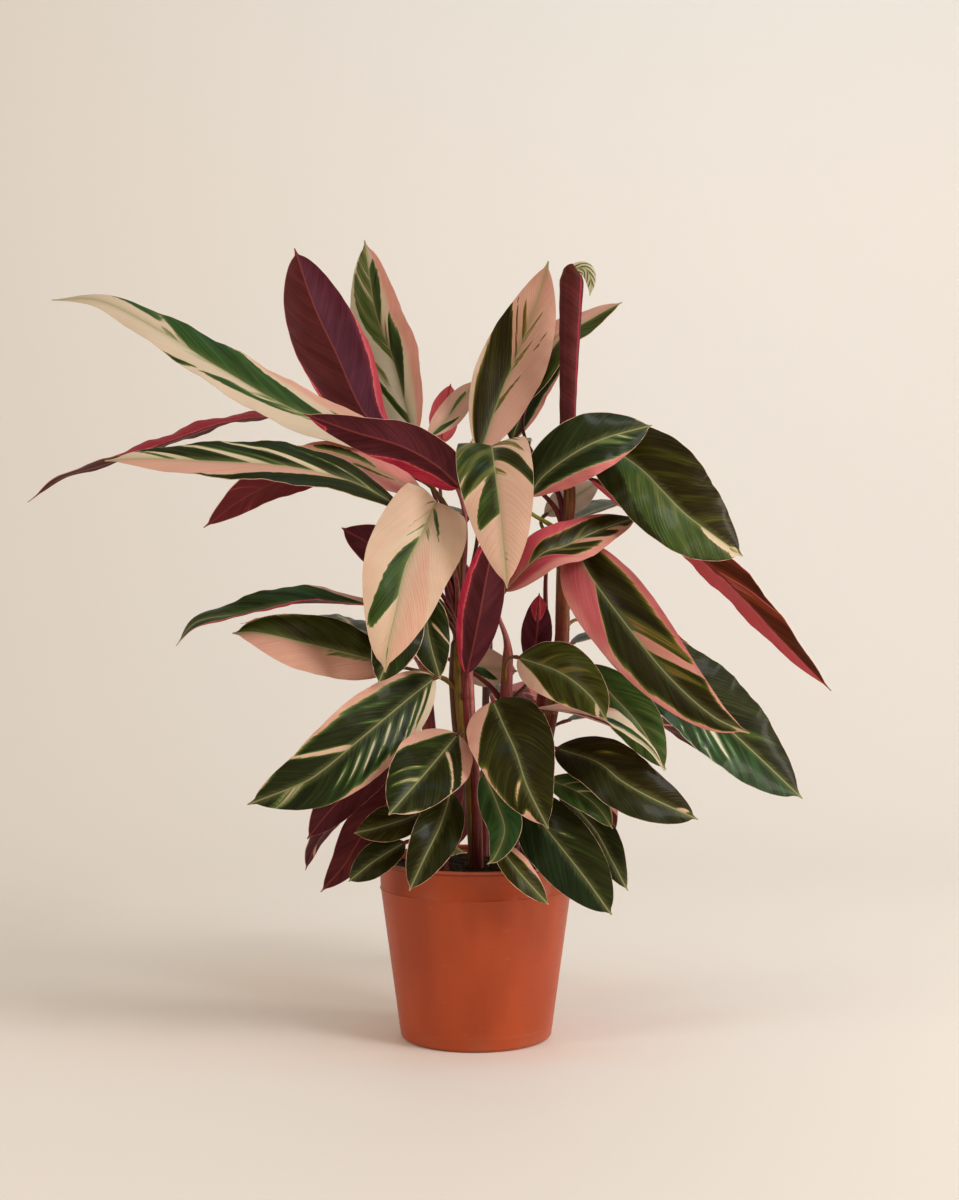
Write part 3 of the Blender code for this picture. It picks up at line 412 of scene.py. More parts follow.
LOOKS = {
    "leaf_top_1": look(
        (LEFT, 0, 0.5, 0.68, 1, 1, 0.84), (RIGHT, 0, 0.4, 0.88, 1, 1, 0.9), tone=(-0.4, 0.25)),
    "leaf_top_2": look(
        (LEFT, 0.41, 1, 0, 0.96, 0.48, 0), (LEFT, 0.06, 0.14, 0, 1, 0.15, 0),
        (LEFT, 0.15, 0.26, 0.3, 0.9, 0.58, 0.1), (RIGHT, 0.57, 0.86, 0, 0.72, 0.2, 0.2),
        (RIGHT, 0.21, 0.48, 0, 0.8, 0.15, 0.2), (RIGHT, 0.48, 0.54, 0, 0.4, 0.6, 0.2),
        (RIGHT, 0.56, 0.6, 0, 0.5, 0.6, 0.2), (RIGHT, 0, 1, 0.55, 1, 1, 0.5), ground=1, blush=0.04,
        tone=(0.1, 0.0), lag=2.2),
    "leaf_top_3": look(
        (LEFT, 0, 0.45, 0, 1, 0.02, 0.3), (LEFT, 0.49, 0.52, 0, 0.96, 0.3, 0.3),
        (LEFT, 0, 0.12, 0.86, 1, 1, 0.2), (RIGHT, 0.2, 0.28, 0, 0.45, 0.4, 0.4),
        (RIGHT, 0.42, 0.5, 0, 0.4, 0.5, 0.3), (RIGHT, 0.56, 0.66, 0, 0.5, 0.52, 0.3),
        (LEFT, 0.58, 0.68, 0, 0.6, 0.52, 0.3), (RIGHT, 0.34, 0.37, 0.45, 0.8, 0.3, 0.4), ground=1,
        blush=0.42, tone=(0.9, 0.6), lag=2.8),
    "leaf_top_4": look((RIGHT, 0, 0.5, 0.75, 1, 1, 0.5), tone=(-0.5, -0.3), edge=0.96, lag=2),
    "leaf_top_5": look(
        (LEFT, 0, 1, 0, 1, 1, 0.45), (LEFT, 0, 0.6, 0.1, 0.4, 0.6, 0.3), ground=0.25, tone=(0.6, 0.6),
        lag=2.6),
    "leaf_top_6": look(ground=1, blush=0.72),
    "leaf_top_7": look(
        (LEFT, 0.35, 0.7, 0, 0.35, 0.45, 0.2), (RIGHT, 0, 0.2, 0, 0.7, 0.1, 0.2), ground=1, blush=0.4,
        lag=2),
    "leaf_left_1": look(
        (RIGHT, 0.17, 0.62, 0, 1, 0.24, 0.2), (RIGHT, 0.56, 0.8, 0.3, 1, 0.3, 0.2),
        (RIGHT, 0.08, 0.13, 0, 0.75, 0.35, 0.3), (RIGHT, 0, 0.3, 0.5, 1, 1, 0.42),
        (RIGHT, 0.6, 0.68, 0, 0.35, 0.6, 0.1), (LEFT, 0.24, 0.33, 0.08, 0.55, 0.25, 0.2),
        (LEFT, 0.31, 0.41, 0.32, 0.8, 0.2, 0.2), (LEFT, 0.39, 0.5, 0.6, 1, 0.2, 0.2),
        (LEFT, 0.12, 0.4, 0, 0.3, 0.56, 0.1), (LEFT, 0.52, 0.57, 0, 0.9, 0.6, 0.1), ground=1, blush=0.14,
        tone=(-0.1, -0.2), lag=2.8),
    "leaf_left_2": look(
        (LEFT, 0, 0.7, 0.1, 1, 1, 0.95), (RIGHT, 0, 0.5, 0.3, 0.6, 0.75, 0.95), tone=(0, 0.2)),
    "leaf_left_3": look(
        (LEFT, 0.2, 1, 0, 1, 1, 0.42), (RIGHT, 0.1, 0.12, 0, 0.8, 0.95, 0.1),
        (RIGHT, 0.255, 0.32, 0, 1, 0.85, 0.1), (RIGHT, 0.46, 0.53, 0, 1, 0.95, 0.1),
        (RIGHT, 0.4, 0.415, 0, 0.7, 0.7, 0.1), (RIGHT, 0.7, 1, 0, 1, 1, 0.15),
        (RIGHT, 0.76, 0.8, 0, 1, 0.3, 0.1), tone=(0, 0.1), edge=0.54, lag=3.4),
    "leaf_left_4": look(ground=0.42, tone=(0.1, 0.1)),
    "leaf_left_5": look(
        (RIGHT, 0, 0.5, 0.4, 1, 1, 0.97), (RIGHT, 0.74, 1, 0.55, 1, 1, 0.95), tone=(-0.1, -0.1)),
    "leaf_left_6": look(
        (RIGHT, 0.35, 0.85, 0.1, 0.6, 0.15, 0.5), (LEFT, 0.2, 0.5, 0.1, 0.4, 0.2, 0.5), ground=1,
        blush=0.6, tone=(0.4, 0.4), lag=2.4),
    "leaf_left_7": look((RIGHT, 0.2, 0.9, 0.9, 1, 0.9, 0.95), tone=(-0.2, -0.2)),
    "leaf_left_8": look(
        (RIGHT, 0, 0.08, 0, 1, 0.9, 0.4), (LEFT, 0, 0.9, 0.62, 1, 1, 1), ground=0.12, tone=(-0.3, -0.3),
        lag=2),
    "leaf_left_9": look(
        (LEFT, 0, 1, 0, 1, 1, 0.42), (LEFT, 0.04, 0.42, 0, 0.26, 0.52, 0.3),
        (RIGHT, 0.1, 1, 0.94, 1, 0.9, 0.3), ground=0.16, tone=(0.1, 0.55), lag=2),
    "leaf_right_1": look(
        (RIGHT, 0, 0.62, 0.56, 1, 1, 0.68), (RIGHT, 0.56, 0.66, 0, 0.6, 0.5, 0.2),
        (RIGHT, 0.7, 0.76, 0, 0.7, 0.6, 0.2), (LEFT, 0.7, 1, 0.8, 1, 0.9, 0.3), tone=(-0.1, -0.1),
        edge=0.72, lag=1.5),
    "leaf_right_2": look(
        # The right half's lighter grey-green, shade 0.3, is a painted sheen
        (RIGHT, 0.06, 1, 0, 0.97, 0.3, 0.2), (RIGHT, 0.7, 0.9, 0, 0.3, 1, 0.15),
        (RIGHT, 0.88, 1, 0.2, 1, 1, 0.15), (LEFT, 0.9, 0.97, 0, 0.4, 1, 0.15),
        (LEFT, 0.12, 0.22, 0, 1, 0.13, 0.2), (LEFT, 0.3, 0.38, 0, 1, 0.15, 0.2),
        (LEFT, 0.46, 0.54, 0, 1, 0.13, 0.2), (LEFT, 0.62, 0.7, 0, 1, 0.15, 0.2), tone=(0.85, 0.3),
        edge=0.54, lag=0.9),
    "leaf_right_3": look(
        (LEFT, 0, 1, 0.06, 1, 1, 0.76), (RIGHT, 0.2, 0.32, 0, 1, 0.5, 0.6),
        (RIGHT, 0.45, 0.6, 0, 1, 0.55, 0.6), (LEFT, 0.2, 0.5, 0, 0.24, 0.5, 0.6), tone=(0.8, 1.0), lag=3),
    "leaf_right_4": look(
        (LEFT, 0, 0.8, 0.4, 1, 1, 0.84), (LEFT, 0, 0.2, 0, 1, 1, 0.86), (RIGHT, 0, 0.26, 0, 1, 1, 0.86),
        (RIGHT, 0, 1, 0.66, 1, 1, 0.56), (RIGHT, 0.5, 0.58, 0, 0.9, 1, 0.5),
        (RIGHT, 0.36, 0.42, 0, 0.8, 0.5, 0.5), (LEFT, 0.5, 0.56, 0, 0.5, 0.5, 0.5),
        (RIGHT, 0.72, 0.82, 0.1, 1, 0.8, 0.45), tone=(0.9, 0.8), lag=1.8),
    "leaf_right_5": look(
        (RIGHT, 0, 0.19, 0, 1, 1, 0.78), (RIGHT, 0, 1, 0.8, 1, 1, 0.62), (LEFT, 0, 0.9, 0.78, 1, 1, 0.74),
        (LEFT, 0.3, 0.42, 0.04, 0.96, 0.5, 0.5), (LEFT, 0.42, 0.52, 0, 1, 1, 0.54),
        (LEFT, 0.55, 0.62, 0.05, 0.85, 0.52, 0.4), (LEFT, 0.5, 1, 0.84, 1, 1, 0.55),
        (RIGHT, 0.93, 1, 0, 1, 1, 0.5), tone=(0.8, 0.55), lag=2.3),
    "leaf_right_6": look(
        # The pale streaks on the right half from 0.18 to 0.56 of the length are painted gloss highlights
        # along the veins
        (RIGHT, 0, 1, 0, 1, 0.14, 0), (RIGHT, 0.18, 0.21, 0.6, 1, 0.66, 0),
        (RIGHT, 0.28, 0.33, 0.5, 1, 0.7, 0), (RIGHT, 0.37, 0.40, 0.35, 0.9, 0.72, 0),
        (RIGHT, 0.43, 0.49, 0.25, 0.8, 0.7, 0), (RIGHT, 0.53, 0.56, 0.3, 0.7, 0.68, 0),
        (LEFT, 0.6, 0.66, 0.1, 0.8, 0.42, 0.3), tone=(0.3, -0.5), edge=0.54, lag=1.6),
    "leaf_right_7": look(ground=1, blush=0.2),
    "leaf_right_8": look(ground=0.3, tone=(0.05, 0.05), edge=0.66),
    "leaf_front_1": look(
        (RIGHT, 0, 0.5, 0, 1, 0.46, 0.1), (RIGHT, 0, 0.08, 0, 1, 0.3, 0.1),
        (RIGHT, 0.1, 0.17, 0, 1, 0.1, 0.1), (RIGHT, 0.23, 0.31, 0, 0.95, 0.18, 0.1),
        (RIGHT, 0.37, 0.45, 0, 0.95, 0.14, 0.1), (RIGHT, 0.49, 0.68, 0, 0.84, 0.1, 0.1),
        (LEFT, 0.1, 0.17, 0, 0.9, 0.46, 0.2), (LEFT, 0.17, 0.21, 0, 0.85, 0.15, 0.2),
        (LEFT, 0.21, 0.3, 0, 0.9, 0.5, 0.2), (LEFT, 0.31, 0.42, 0, 1, 0.1, 0.2),
        (LEFT, 0.46, 0.5, 0, 0.4, 0.5, 0.2), (LEFT, 0.8, 0.9, 0.05, 0.2, 0.45, 0.2), ground=1, blush=0.34,
        tone=(0.5, 0.3), lag=0.7),
    "leaf_front_2": look(
        (RIGHT, 0.38, 0.68, 0, 0.9, 0.22, 0.1), (RIGHT, 0.3, 0.35, 0, 0.55, 0.58, 0.1),
        (LEFT, 0.19, 0.24, 0.04, 0.42, 0.12, 0.2), (LEFT, 0.3, 0.34, 0.04, 0.36, 0.35, 0.2),
        (RIGHT, 0.16, 0.18, 0, 0.4, 0.3, 0.2), (RIGHT, 0.22, 0.27, 0, 0.5, 0.56, 0.2),
        (LEFT, 0.88, 0.95, 0, 0.2, 0.4, 0.3), (RIGHT, 0.82, 1, 0, 1, 1, 0.32),
        (LEFT, 0.3, 1, 0.2, 1, 1, 0.37), ground=1, blush=0.24, tone=(0, 0.05), lag=1.9),
    "leaf_front_3": look(
        (RIGHT, 0, 0.14, 0.3, 1, 1, 0.44), (RIGHT, 0.06, 0.7, 0.88, 1, 1, 0.45),
        (RIGHT, 0.62, 0.66, 0.1, 0.8, 0.75, 0.3), (RIGHT, 0.68, 0.98, 0.42, 1, 1, 0.42), ground=0.05,
        tone=(0.6, 0.6), edge=0.48, lag=1),
    "leaf_front_4": look(
        (RIGHT, 0, 0.22, 0.5, 1, 1, 0.42), (LEFT, 0, 0.1, 0.3, 1, 1, 0.45),
        (LEFT, 0.2, 0.25, 0.05, 1, 0.9, 0.25), (RIGHT, 0.46, 0.49, 0.1, 1, 0.8, 0.25),
        (RIGHT, 0.6, 0.66, 0, 0.8, 0.7, 0.25), (LEFT, 0.5, 1, 0.85, 1, 0.9, 0.25), tone=(0.35, 0.1),
        edge=0.84, lag=1.1),
    "leaf_front_5": look(ground=0.26, tone=(-0.4, -0.3), edge=0.72),
    "leaf_front_6": look((LEFT, 0, 0.7, 0.55, 1, 1, 0.45), ground=0.1, tone=(0.8, 0.7), edge=0.72),
    "leaf_inner_1": look((RIGHT, 0, 1, 0.66, 1, 1, 0.97), tone=(-0.1, 0)),
    "leaf_inner_2": look(tone=(0, 0), edge=1.32),
    "leaf_inner_3": look((LEFT, 0.3, 0.36, 0.2, 1, 0.9, 0.3), tone=(0, 0), edge=1.2),
    "leaf_inner_4": look((LEFT, 0.3, 1, 0.85, 1, 0.8, 0.9), tone=(-0.5, -0.5)),
    "leaf_inner_5": look((RIGHT, 0.1, 0.5, 0, 0.7, 0.1, 0.2), ground=1, blush=0.3),
    "leaf_inner_6": look(
        (LEFT, 0.6, 1, 0.1, 1, 1, 0.92), (RIGHT, 0.6, 1, 0.1, 1, 1, 0.92), tone=(-0.3, -0.3)),
    "leaf_low_left_1": look(
        (RIGHT, 0, 0.62, 0.78, 1, 1, 0.42), (LEFT, 0, 0.6, 0.76, 1, 1, 0.42),
        (RIGHT, 0.5, 0.545, 0, 1, 1, 0.25), (RIGHT, 0.33, 0.35, 0, 0.4, 0.9, 0.2),
        (LEFT, 0, 0.02, 0.1, 1, 0.9, 0.1), (LEFT, 0.045, 0.07, 0.1, 1, 0.9, 0.1),
        (LEFT, 0.1, 0.125, 0.2, 1, 0.9, 0.1), (LEFT, 0.74, 0.84, 0, 1, 0.6, 0.15),
        # The five pale streaks on the left half from 0.18 to 0.53 of the length, without blush, are painted
        # gloss highlights along the veins
        (LEFT, 0.18, 0.21, 0.22, 0.8, 0.85, 0), (LEFT, 0.26, 0.295, 0.15, 0.75, 0.85, 0),
        (LEFT, 0.34, 0.375, 0.2, 0.8, 0.85, 0), (LEFT, 0.42, 0.45, 0.2, 0.7, 0.82, 0),
        (LEFT, 0.5, 0.53, 0.25, 0.65, 0.8, 0), (RIGHT, 0.2, 0.22, 0.3, 0.7, 0.7, 0),
        (RIGHT, 0.6, 1, 0.9, 1, 0.9, 0.3), tone=(-0.15, 0.0), lag=1.5),
    "leaf_low_left_2": look(tone=(0, 0)),
    "leaf_low_left_3": look(tone=(0.2, 0.2)),
    "leaf_low_left_4": look(ground=0.1, tone=(0.8, 0.8)),
    "leaf_low_left_5": look(tone=(0.4, 0.3)),
    "leaf_low_left_6": look(tone=(0.3, 0.4), edge=0.72),
    "leaf_low_right_1": look(
        (RIGHT, 0, 0.3, 0.3, 1, 1, 0.3), (RIGHT, 0.3, 0.6, 0.88, 1, 1, 0.3),
        (LEFT, 0.2, 0.26, 0, 0.8, 0.5, 0.2), (LEFT, 0.42, 0.5, 0, 0.8, 0.5, 0.2),
        (RIGHT, 0.84, 0.9, 0, 1, 0.9, 0.2), ground=0.2, tone=(0.8, 0.7), edge=0.6),
    "leaf_low_right_2": look(
        (LEFT, 0.15, 0.95, 0.15, 0.5, 0.1, 0.1), (RIGHT, 0.2, 0.9, 0.2, 0.6, 0.15, 0.1),
        (LEFT, 0, 0.25, 0, 1, 1, 0.45), ground=1, blush=0.15, tone=(-0.2, 0), lag=2),
    "leaf_low_right_3": look(
        (LEFT, 0.2, 0.24, 0.3, 0.6, 0.6, 0.6), (LEFT, 0.84, 0.92, 0, 0.5, 0.8, 0.3), tone=(0.8, 0.3),
        edge=0.42),
    "leaf_low_right_4": look((LEFT, 0.3, 0.33, 0.2, 0.5, 0.7, 0.3), tone=(0.2, -0.5), edge=0.48, lag=1.4),
    "leaf_low_right_5": look(tone=(0.2, 0.1), edge=0.48),
    "leaf_low_right_6": look(
        (LEFT, 0.4, 1, 0.85, 1, 1, 0.5), (LEFT, 0.2, 0.25, 0, 1, 0.62, 0.1),
        (LEFT, 0.4, 0.45, 0, 1, 0.62, 0.1), ground=0.3),
    "dry_leaf": PLAIN,
}

# Stalk colours that differ from the mixed ones
STALK_TINTS = {
    "leaf_front_2": BROWN, "leaf_left_7": BROWN, "leaf_front_1": LIME, "leaf_left_4": OLIVE,
    "leaf_left_5": BROWN, "leaf_top_3": BROWN, "leaf_left_1": ROSE, "leaf_inner_1": RED,
    "leaf_right_4": ROSE, "leaf_right_5": TAN, "leaf_right_6": TAN, "leaf_right_2": OLIVE,
    "leaf_right_3": PURPLE, "leaf_right_1": LIME, "leaf_top_5": PURPLE, "leaf_low_right_1": OLIVE,
}
STALK_MIX = (BROWN, OLIVE, RED, ROSE, RED)
CANE_TINTS = {"cane_left": (PURPLE, RED, BROWN, BROWN, OLIVE, RED, ROSE),
              "cane_middle": (RED, BROWN, OLIVE, RED, ROSE),
              "cane_right": (PURPLE, RED, BROWN, OLIVE, TAN), "shoot_front_left": (PURPLE, RED, BROWN),
              "shoot_front_right": (RED, PURPLE, ROSE)}

# Paper sweep: its floor, bend, wall, half width and how far it reaches to the front, in metres
PAPER_FLOOR = 3.2
PAPER_BEND = 1.2
PAPER_WALL = 3.0
PAPER_HALF_WIDTH = 5
PAPER_FRONT = 2.2
PAPER_DROP = 0.0002

# Studio lights: place, target, the disk's size and colour, in metres
LIGHTS = {
    "Key": ((2.5, -1.9, 2.3), (0, 0.05, 0.32), 1.3, (0.98, 0.98, 1)),
    "Fill": ((-1.9, -1.2, 1.0), (0, 0, 0.3), 0.7, (1, 0.92, 0.84)),
    "Paper": ((0.6, -0.2, 3.0), (0.4, 3.4, 1.1), 1.6, (0.15, 0.66, 1)),
    "Side": ((1.9, -0.35, 0.45), (0, 0, 0.12), 0.5, (1, 0.93, 0.82)),
}
AIR_COLOUR = (1.0, 0.83, 0.65, 1)
AIR_STRENGTH = 0.47


class Wire:
    """A number that flows through a material's nodes. Sums on it add Math nodes."""

    def __init__(self, shader, socket):
        self.shader = shader
        self.socket = socket

    def math(self, operation, *values, clamp=False):
        settings = {"operation": operation, "use_clamp": clamp}
        return self.shader.node("ShaderNodeMath", settings, dict(enumerate(values)))

    def __add__(self, other):
        return self.math("ADD", self, other)

    def __radd__(self, other):
        return self.math("ADD", other, self)

    def __sub__(self, other):
        return self.math("SUBTRACT", self, other)

    def __rsub__(self, other):
        return self.math("SUBTRACT", other, self)

    def __mul__(self, other):
        return self.math("MULTIPLY", self, other)

    def __rmul__(self, other):
        return self.math("MULTIPLY", other, self)

    def __neg__(self):
        return self.math("MULTIPLY", self, -1.0)

    def __abs__(self):
        return self.math("ABSOLUTE", self)

    def sine(self):
        return self.math("SINE", self)

    def sign(self):
        return self.math("SIGN", self)

    def held(self):
        """The number kept between 0 and 1."""
        return self.math("ADD", self, 0.0, clamp=True)


def socket_name(key):
    return key.replace("_", " ").title().replace("Ior", "IOR")


class Shader:
    """A material's node tree and the calls that add nodes to it."""

    def __init__(self, name, **values):
        self.material = bpy.data.materials.new(name)
        self.material.use_nodes = True
        self.tree = self.material.node_tree
        self.surface = self.tree.nodes["Principled BSDF"]
        for key, value in values.items():
            self.surface.inputs[socket_name(key)].default_value = value

    def node(self, kind, settings=None, inputs=None, output=0):
        """Adds a node, gives it its settings, then its inputs, and returns one of its outputs."""
        node = self.tree.nodes.new(kind)
        for key, value in (settings or {}).items():
            if key == "stops":
                self.set_stops(node.color_ramp.elements, value)
            else:
                setattr(node, key, value)
        for key, value in (inputs or {}).items():
            self.put(node.inputs[key], value)
        return Wire(self, node.outputs[output])

    def set_stops(self, elements, stops):
        while len(elements) < len(stops):
            elements.new(1)
        for element, (position, colour) in zip(elements, stops):
            element.position = position
            element.color = (*colour, 1)

    def put(self, socket, value):
        if isinstance(value, Wire):
            self.tree.links.new(value.socket, socket)
        elif hasattr(value, "__len__") and len(value) < len(socket.default_value):
            socket.default_value = (*value, 1)
        else:
            socket.default_value = value

    def finish(self, **sockets):
        """Links the surface's own sockets and returns the material."""
        for key, value in sockets.items():
            self.put(self.surface.inputs[socket_name(key)], value)
        return self.material

    def attribute(self, name, output="Fac"):
        return self.node("ShaderNodeAttribute", {"attribute_name": name}, output=output)

    def place(self):
        return self.node("ShaderNodeTexCoord", output="Object")

    def split(self, vector):
        node = self.tree.nodes.new("ShaderNodeSeparateXYZ")
        self.put(node.inputs[0], vector)
        return [Wire(self, node.outputs[k]) for k in range(3)]

    def join(self, x, y, z):
        return self.node("ShaderNodeCombineXYZ", inputs={0: x, 1: y, 2: z})

    def stretch(self, vector, scale):
        return self.node("ShaderNodeMapping", inputs={"Vector": vector, "Scale": scale})

    def noise(self, vector, scale=1.0, detail=2.0, roughness=0.5):
        return self.node("ShaderNodeTexNoise", inputs={"Vector": vector, "Scale": scale,
                                                       "Detail": detail, "Roughness": roughness})

    def step(self, value, low, high, start=0.0, end=1.0):
        """A smooth rise from start to end as value goes from low to high."""
        inputs = {"Value": value, "From Min": low, "From Max": high, "To Min": start, "To Max": end}
        return self.node("ShaderNodeMapRange", {"interpolation_type": "SMOOTHSTEP"}, inputs)

    def ramp(self, value, *stops):
        return self.node("ShaderNodeValToRGB", {"stops": stops}, {"Fac": value})

    def mix(self, share, first, second, blend="MIX"):
        settings = {"data_type": "RGBA", "blend_type": blend}
        return self.node("ShaderNodeMix", settings, {0: share, 6: first, 7: second}, output=2)

    def bump(self, height, distance, strength=1.0, normal=None):
        inputs = {"Height": height, "Distance": distance, "Strength": strength}
        if normal:
            inputs["Normal"] = normal
        return self.node("ShaderNodeBump", inputs=inputs)


def blade_parts(shader):
    """What a blade's material reads: distance off the midrib, marking value, streaks and ripple."""
    vein, off, seed = shader.split(shader.attribute("blade", "Vector"))
    side = off.sign()
    out = abs(off)
    broad = shader.noise(shader.join(vein * 8.0, out * 0.30, seed + side * 5.0), 1.0, 2.0)
    fine = shader.noise(shader.join(vein * 38.0, out * 0.5, seed + side * 9.0), 1.0, 3.0)
    marking = shader.attribute("pale") * 0.75 + (broad - 0.5) * 0.44 + (fine - 0.5) * 0.4 + 0.18
    edge = shader.step(shader.attribute("edge") + (broad - 0.5) * 2.0 + fine * 0.6, 1.0, 0.5)
    ripple = (vein * 125.0 + (broad - 0.5) * 16.0).sine() * (0.4 + broad)
    return out, marking + edge * 0.6, fine, ripple


def toned(shader, colour, warm, cool):
    """The colour tinted where the blade's tone is above 0, warm, and where it is below, cool."""
    tone = shader.attribute("tone")
    colour = shader.mix(tone.held(), colour, warm, "MULTIPLY")
    return shader.mix((-tone).held(), colour, cool, "MULTIPLY")


def leaf_upper(colours):
    """The upper face: dark green feathered along the veins, pale and pink where it has no green."""
    shader = Shader("Leaf upper face", specular_ior_level=0.08, coat_roughness=0.12)
    out, marking, fine, ripple = blade_parts(shader)
    green = shader.ramp(marking, (0.08, (0.010, 0.013, 0.002)), (0.24, (0.020, 0.027, 0.005)),
                        (0.44, colours.green), (0.56, (0.12, 0.14, 0.04)), (0.66, (0.34, 0.31, 0.13)))
    green = toned(shader, green, (1.5, 0.72, 0.42), (0.55, 1.05, 2.1))
    pink = shader.ramp(shader.attribute("blush") + (fine - 0.5) * 0.25,
                       (0.0, colours.cream), (0.35, colours.pink), (0.62, (0.60, 0.20, 0.17)),
                       (0.85, (0.46, 0.065, 0.08)), (1.0, (0.34, 0.018, 0.04)))
    colour = shader.mix(shader.step(marking, 0.6, 0.7), green, pink)
    rib = shader.step(out, 0.10, 0.03)
    halo = shader.step(out + (fine - 0.5) * 0.9, 0.55, 0.0) * 0.3
    colour = shader.mix(halo, colour, (0.22, 0.24, 0.09))
    colour = shader.mix(rib * 0.6, colour, (0.38, 0.36, 0.16))
    height = ripple * 0.2 + fine * 0.45 - rib * 1.0
    normal = shader.bump(height, 0.0005, 0.5)
    gloss = 0.30 + fine * 0.14 + shader.step(marking, 0.6, 0.75) * 0.12
    coat = shader.step(marking, 0.7, 0.4) * 0.035
    return shader.finish(base_color=colour, roughness=gloss, coat_weight=coat, normal=normal)


def leaf_under(colours):
    """The underside: maroon with paler vein bands, crimson and pink where the face has no green, partly its
    own colour and partly a painted glow of light shining through the blade.
    """
    shader = Shader("Leaf underside", specular_ior_level=0.1)
    out, marking, fine, ripple = blade_parts(shader)
    dark = shader.ramp(marking + ripple * 0.02, (0.08, (0.060, 0.009, 0.011)), (0.3, colours.maroon),
                       (0.52, (0.15, 0.022, 0.026)), (0.64, (0.24, 0.035, 0.04)))
    dark = toned(shader, dark, (1.35, 1.6, 0.45), (1.1, 1.0, 2.0))
    # Where the upper face has no green the underside turns crimson and pink: partly its own colour, partly a
    # painted glow of light shining through the blade
    pink = shader.ramp(shader.attribute("blush") + (fine - 0.5) * 0.2,
                       (0.0, (0.66, 0.42, 0.33)), (0.4, (0.62, 0.26, 0.22)), (0.7, (0.72, 0.13, 0.14)),
                       (0.88, (0.50, 0.045, 0.075)), (1.0, (0.30, 0.010, 0.03)))
    colour = shader.mix(shader.step(marking, 0.6, 0.7), dark, pink)
    rib = shader.step(out, 0.11, 0.04)
    colour = shader.mix(rib * 0.6, colour, (0.27, 0.05, 0.045))
    height = rib * 1.4 - ripple * 0.12 + fine * 0.4
    normal = shader.bump(height, 0.0005, 0.5)
    return shader.finish(base_color=colour, roughness=0.42 + fine * 0.16, normal=normal)


def dry_blade():
    """Straw-coloured, ribbed and matt."""
    shader = Shader("Dry leaf")
    _, _, fine, ripple = blade_parts(shader)
    colour = shader.ramp(fine + ripple * 0.12, (0.3, (0.16, 0.11, 0.03)), (0.5, (0.42, 0.36, 0.15)),
                         (0.75, (0.62, 0.56, 0.30)))
    normal = shader.bump(ripple + fine, 0.0006, 0.8)
    return shader.finish(base_color=colour, roughness=0.6 + fine * 0.2, normal=normal)


def stalk_skin():
    """Smooth stalk with fibres along it and darker spots, over the tint of each stalk."""
    shader = Shader("Stalk", specular_ior_level=0.2)
    tint = shader.attribute("tint", "Color")
    place = shader.place()
    fibre = shader.noise(shader.stretch(place, (900, 900, 22)), 1.0, 3.0)
    blotch = shader.noise(place, 75.0, 3.0, 0.6)
    colour = shader.mix(shader.step(fibre, 0.35, 0.7), tint, (0.55, 0.5, 0.5), "MULTIPLY")
    colour = shader.mix(shader.step(blotch, 0.52, 0.7) * 0.6, colour, (1.5, 1.25, 1.0), "MULTIPLY")
    normal = shader.bump(fibre, 0.0004, 0.6)
    return shader.finish(base_color=colour, roughness=0.33 + blotch * 0.2, normal=normal)


def pot_plastic(colours):
    """Moulded terracotta plastic with a faint grain, flow streaks and dust at the foot, with painted shade
    under the lip and a painted highlight on the lip above it.
    """
    shader = Shader("Terracotta plastic", specular_ior_level=0.3)
    place = shader.place()
    height = shader.split(place)[2]
    grain = shader.noise(place, 1400.0, 2.0)
    flow = shader.noise(shader.stretch(place, (26, 26, 9)), 1.0, 3.0)
    scuff = shader.noise(shader.stretch(place, (60, 60, 240)), 1.0, 4.0, 0.65)
    colour = shader.mix(shader.step(flow, 0.3, 0.7), colours.body, colours.body_dark)
    colour = shader.mix(shader.step(scuff, 0.6, 0.75) * 0.1, colour, (0.62, 0.30, 0.17))
    dust = shader.step(height, 0.022, 0.0) * shader.step(flow, 0.35, 0.6) * 0.12
    colour = shader.mix(dust, colour, (0.46, 0.26, 0.15))
    # Painted shade in a thin band just under the lip, then a painted highlight from just above the lip's
    # lower edge upward
    lip = POT_HIGH.z - LIP_HEIGHT * MM
    painted_lip_shade = shader.step(height, lip - 0.0016, lip - 0.0003) * shader.step(height, lip + 0.0006, lip)
    colour = shader.mix(painted_lip_shade * 0.6, colour, (0.09, 0.012, 0.005))
    colour = shader.mix(shader.step(height, lip + 0.0008, lip + 0.002) * 0.3, colour, (0.66, 0.25, 0.14))
    gloss = 0.33 + flow * 0.12 + shader.step(scuff, 0.55, 0.75) * 0.16
    normal = shader.bump(grain + scuff * 0.6, 0.00012, 0.5)
    return shader.finish(base_color=colour, roughness=gloss, normal=normal)


def potting_soil():
    """Dark damp peat with paler fibres and grains."""
    shader = Shader("Potting soil", specular_ior_level=0.1)
    place = shader.place()
    lump = shader.noise(place, 160.0, 5.0, 0.65)
    grain = shader.noise(place, 900.0, 3.0, 0.6)
    colour = shader.ramp(lump * 0.6 + grain * 0.4, (0.35, (0.008, 0.005, 0.004)),
                         (0.52, (0.03, 0.017, 0.01)), (0.68, (0.085, 0.05, 0.03)))
    normal = shader.bump(grain + lump * 2.0, 0.0015, 0.9)
    return shader.finish(base_color=colour, roughness=0.82 + grain * 0.15, normal=normal)


def backdrop_paper(colours):
    """Plain pale paper."""
    shader = Shader("Backdrop paper", roughness=0.62)
    grain = shader.noise(shader.place(), 300.0, 2.0)
    colour = shader.mix(grain * 0.06, colours.backdrop, (0.70, 0.60, 0.50))
    return shader.finish(base_color=colour)


def real_place(place):
    """The real point, in metres, of a place written as seen from EYE."""
    across, depth, height = place
    reach = 1 + depth / -EYE.y
    return Vector((EYE.x + (across - EYE.x) * reach, depth, EYE.z + (height - EYE.z) * reach)) * MM


def real_places(entries):
    """The real points of the entries of a table, which may hold a radius after the place."""
    return [real_place(entry[:3]) for entry in entries]


def level_way(angle):
    return Vector((math.cos(angle), math.sin(angle), 0))


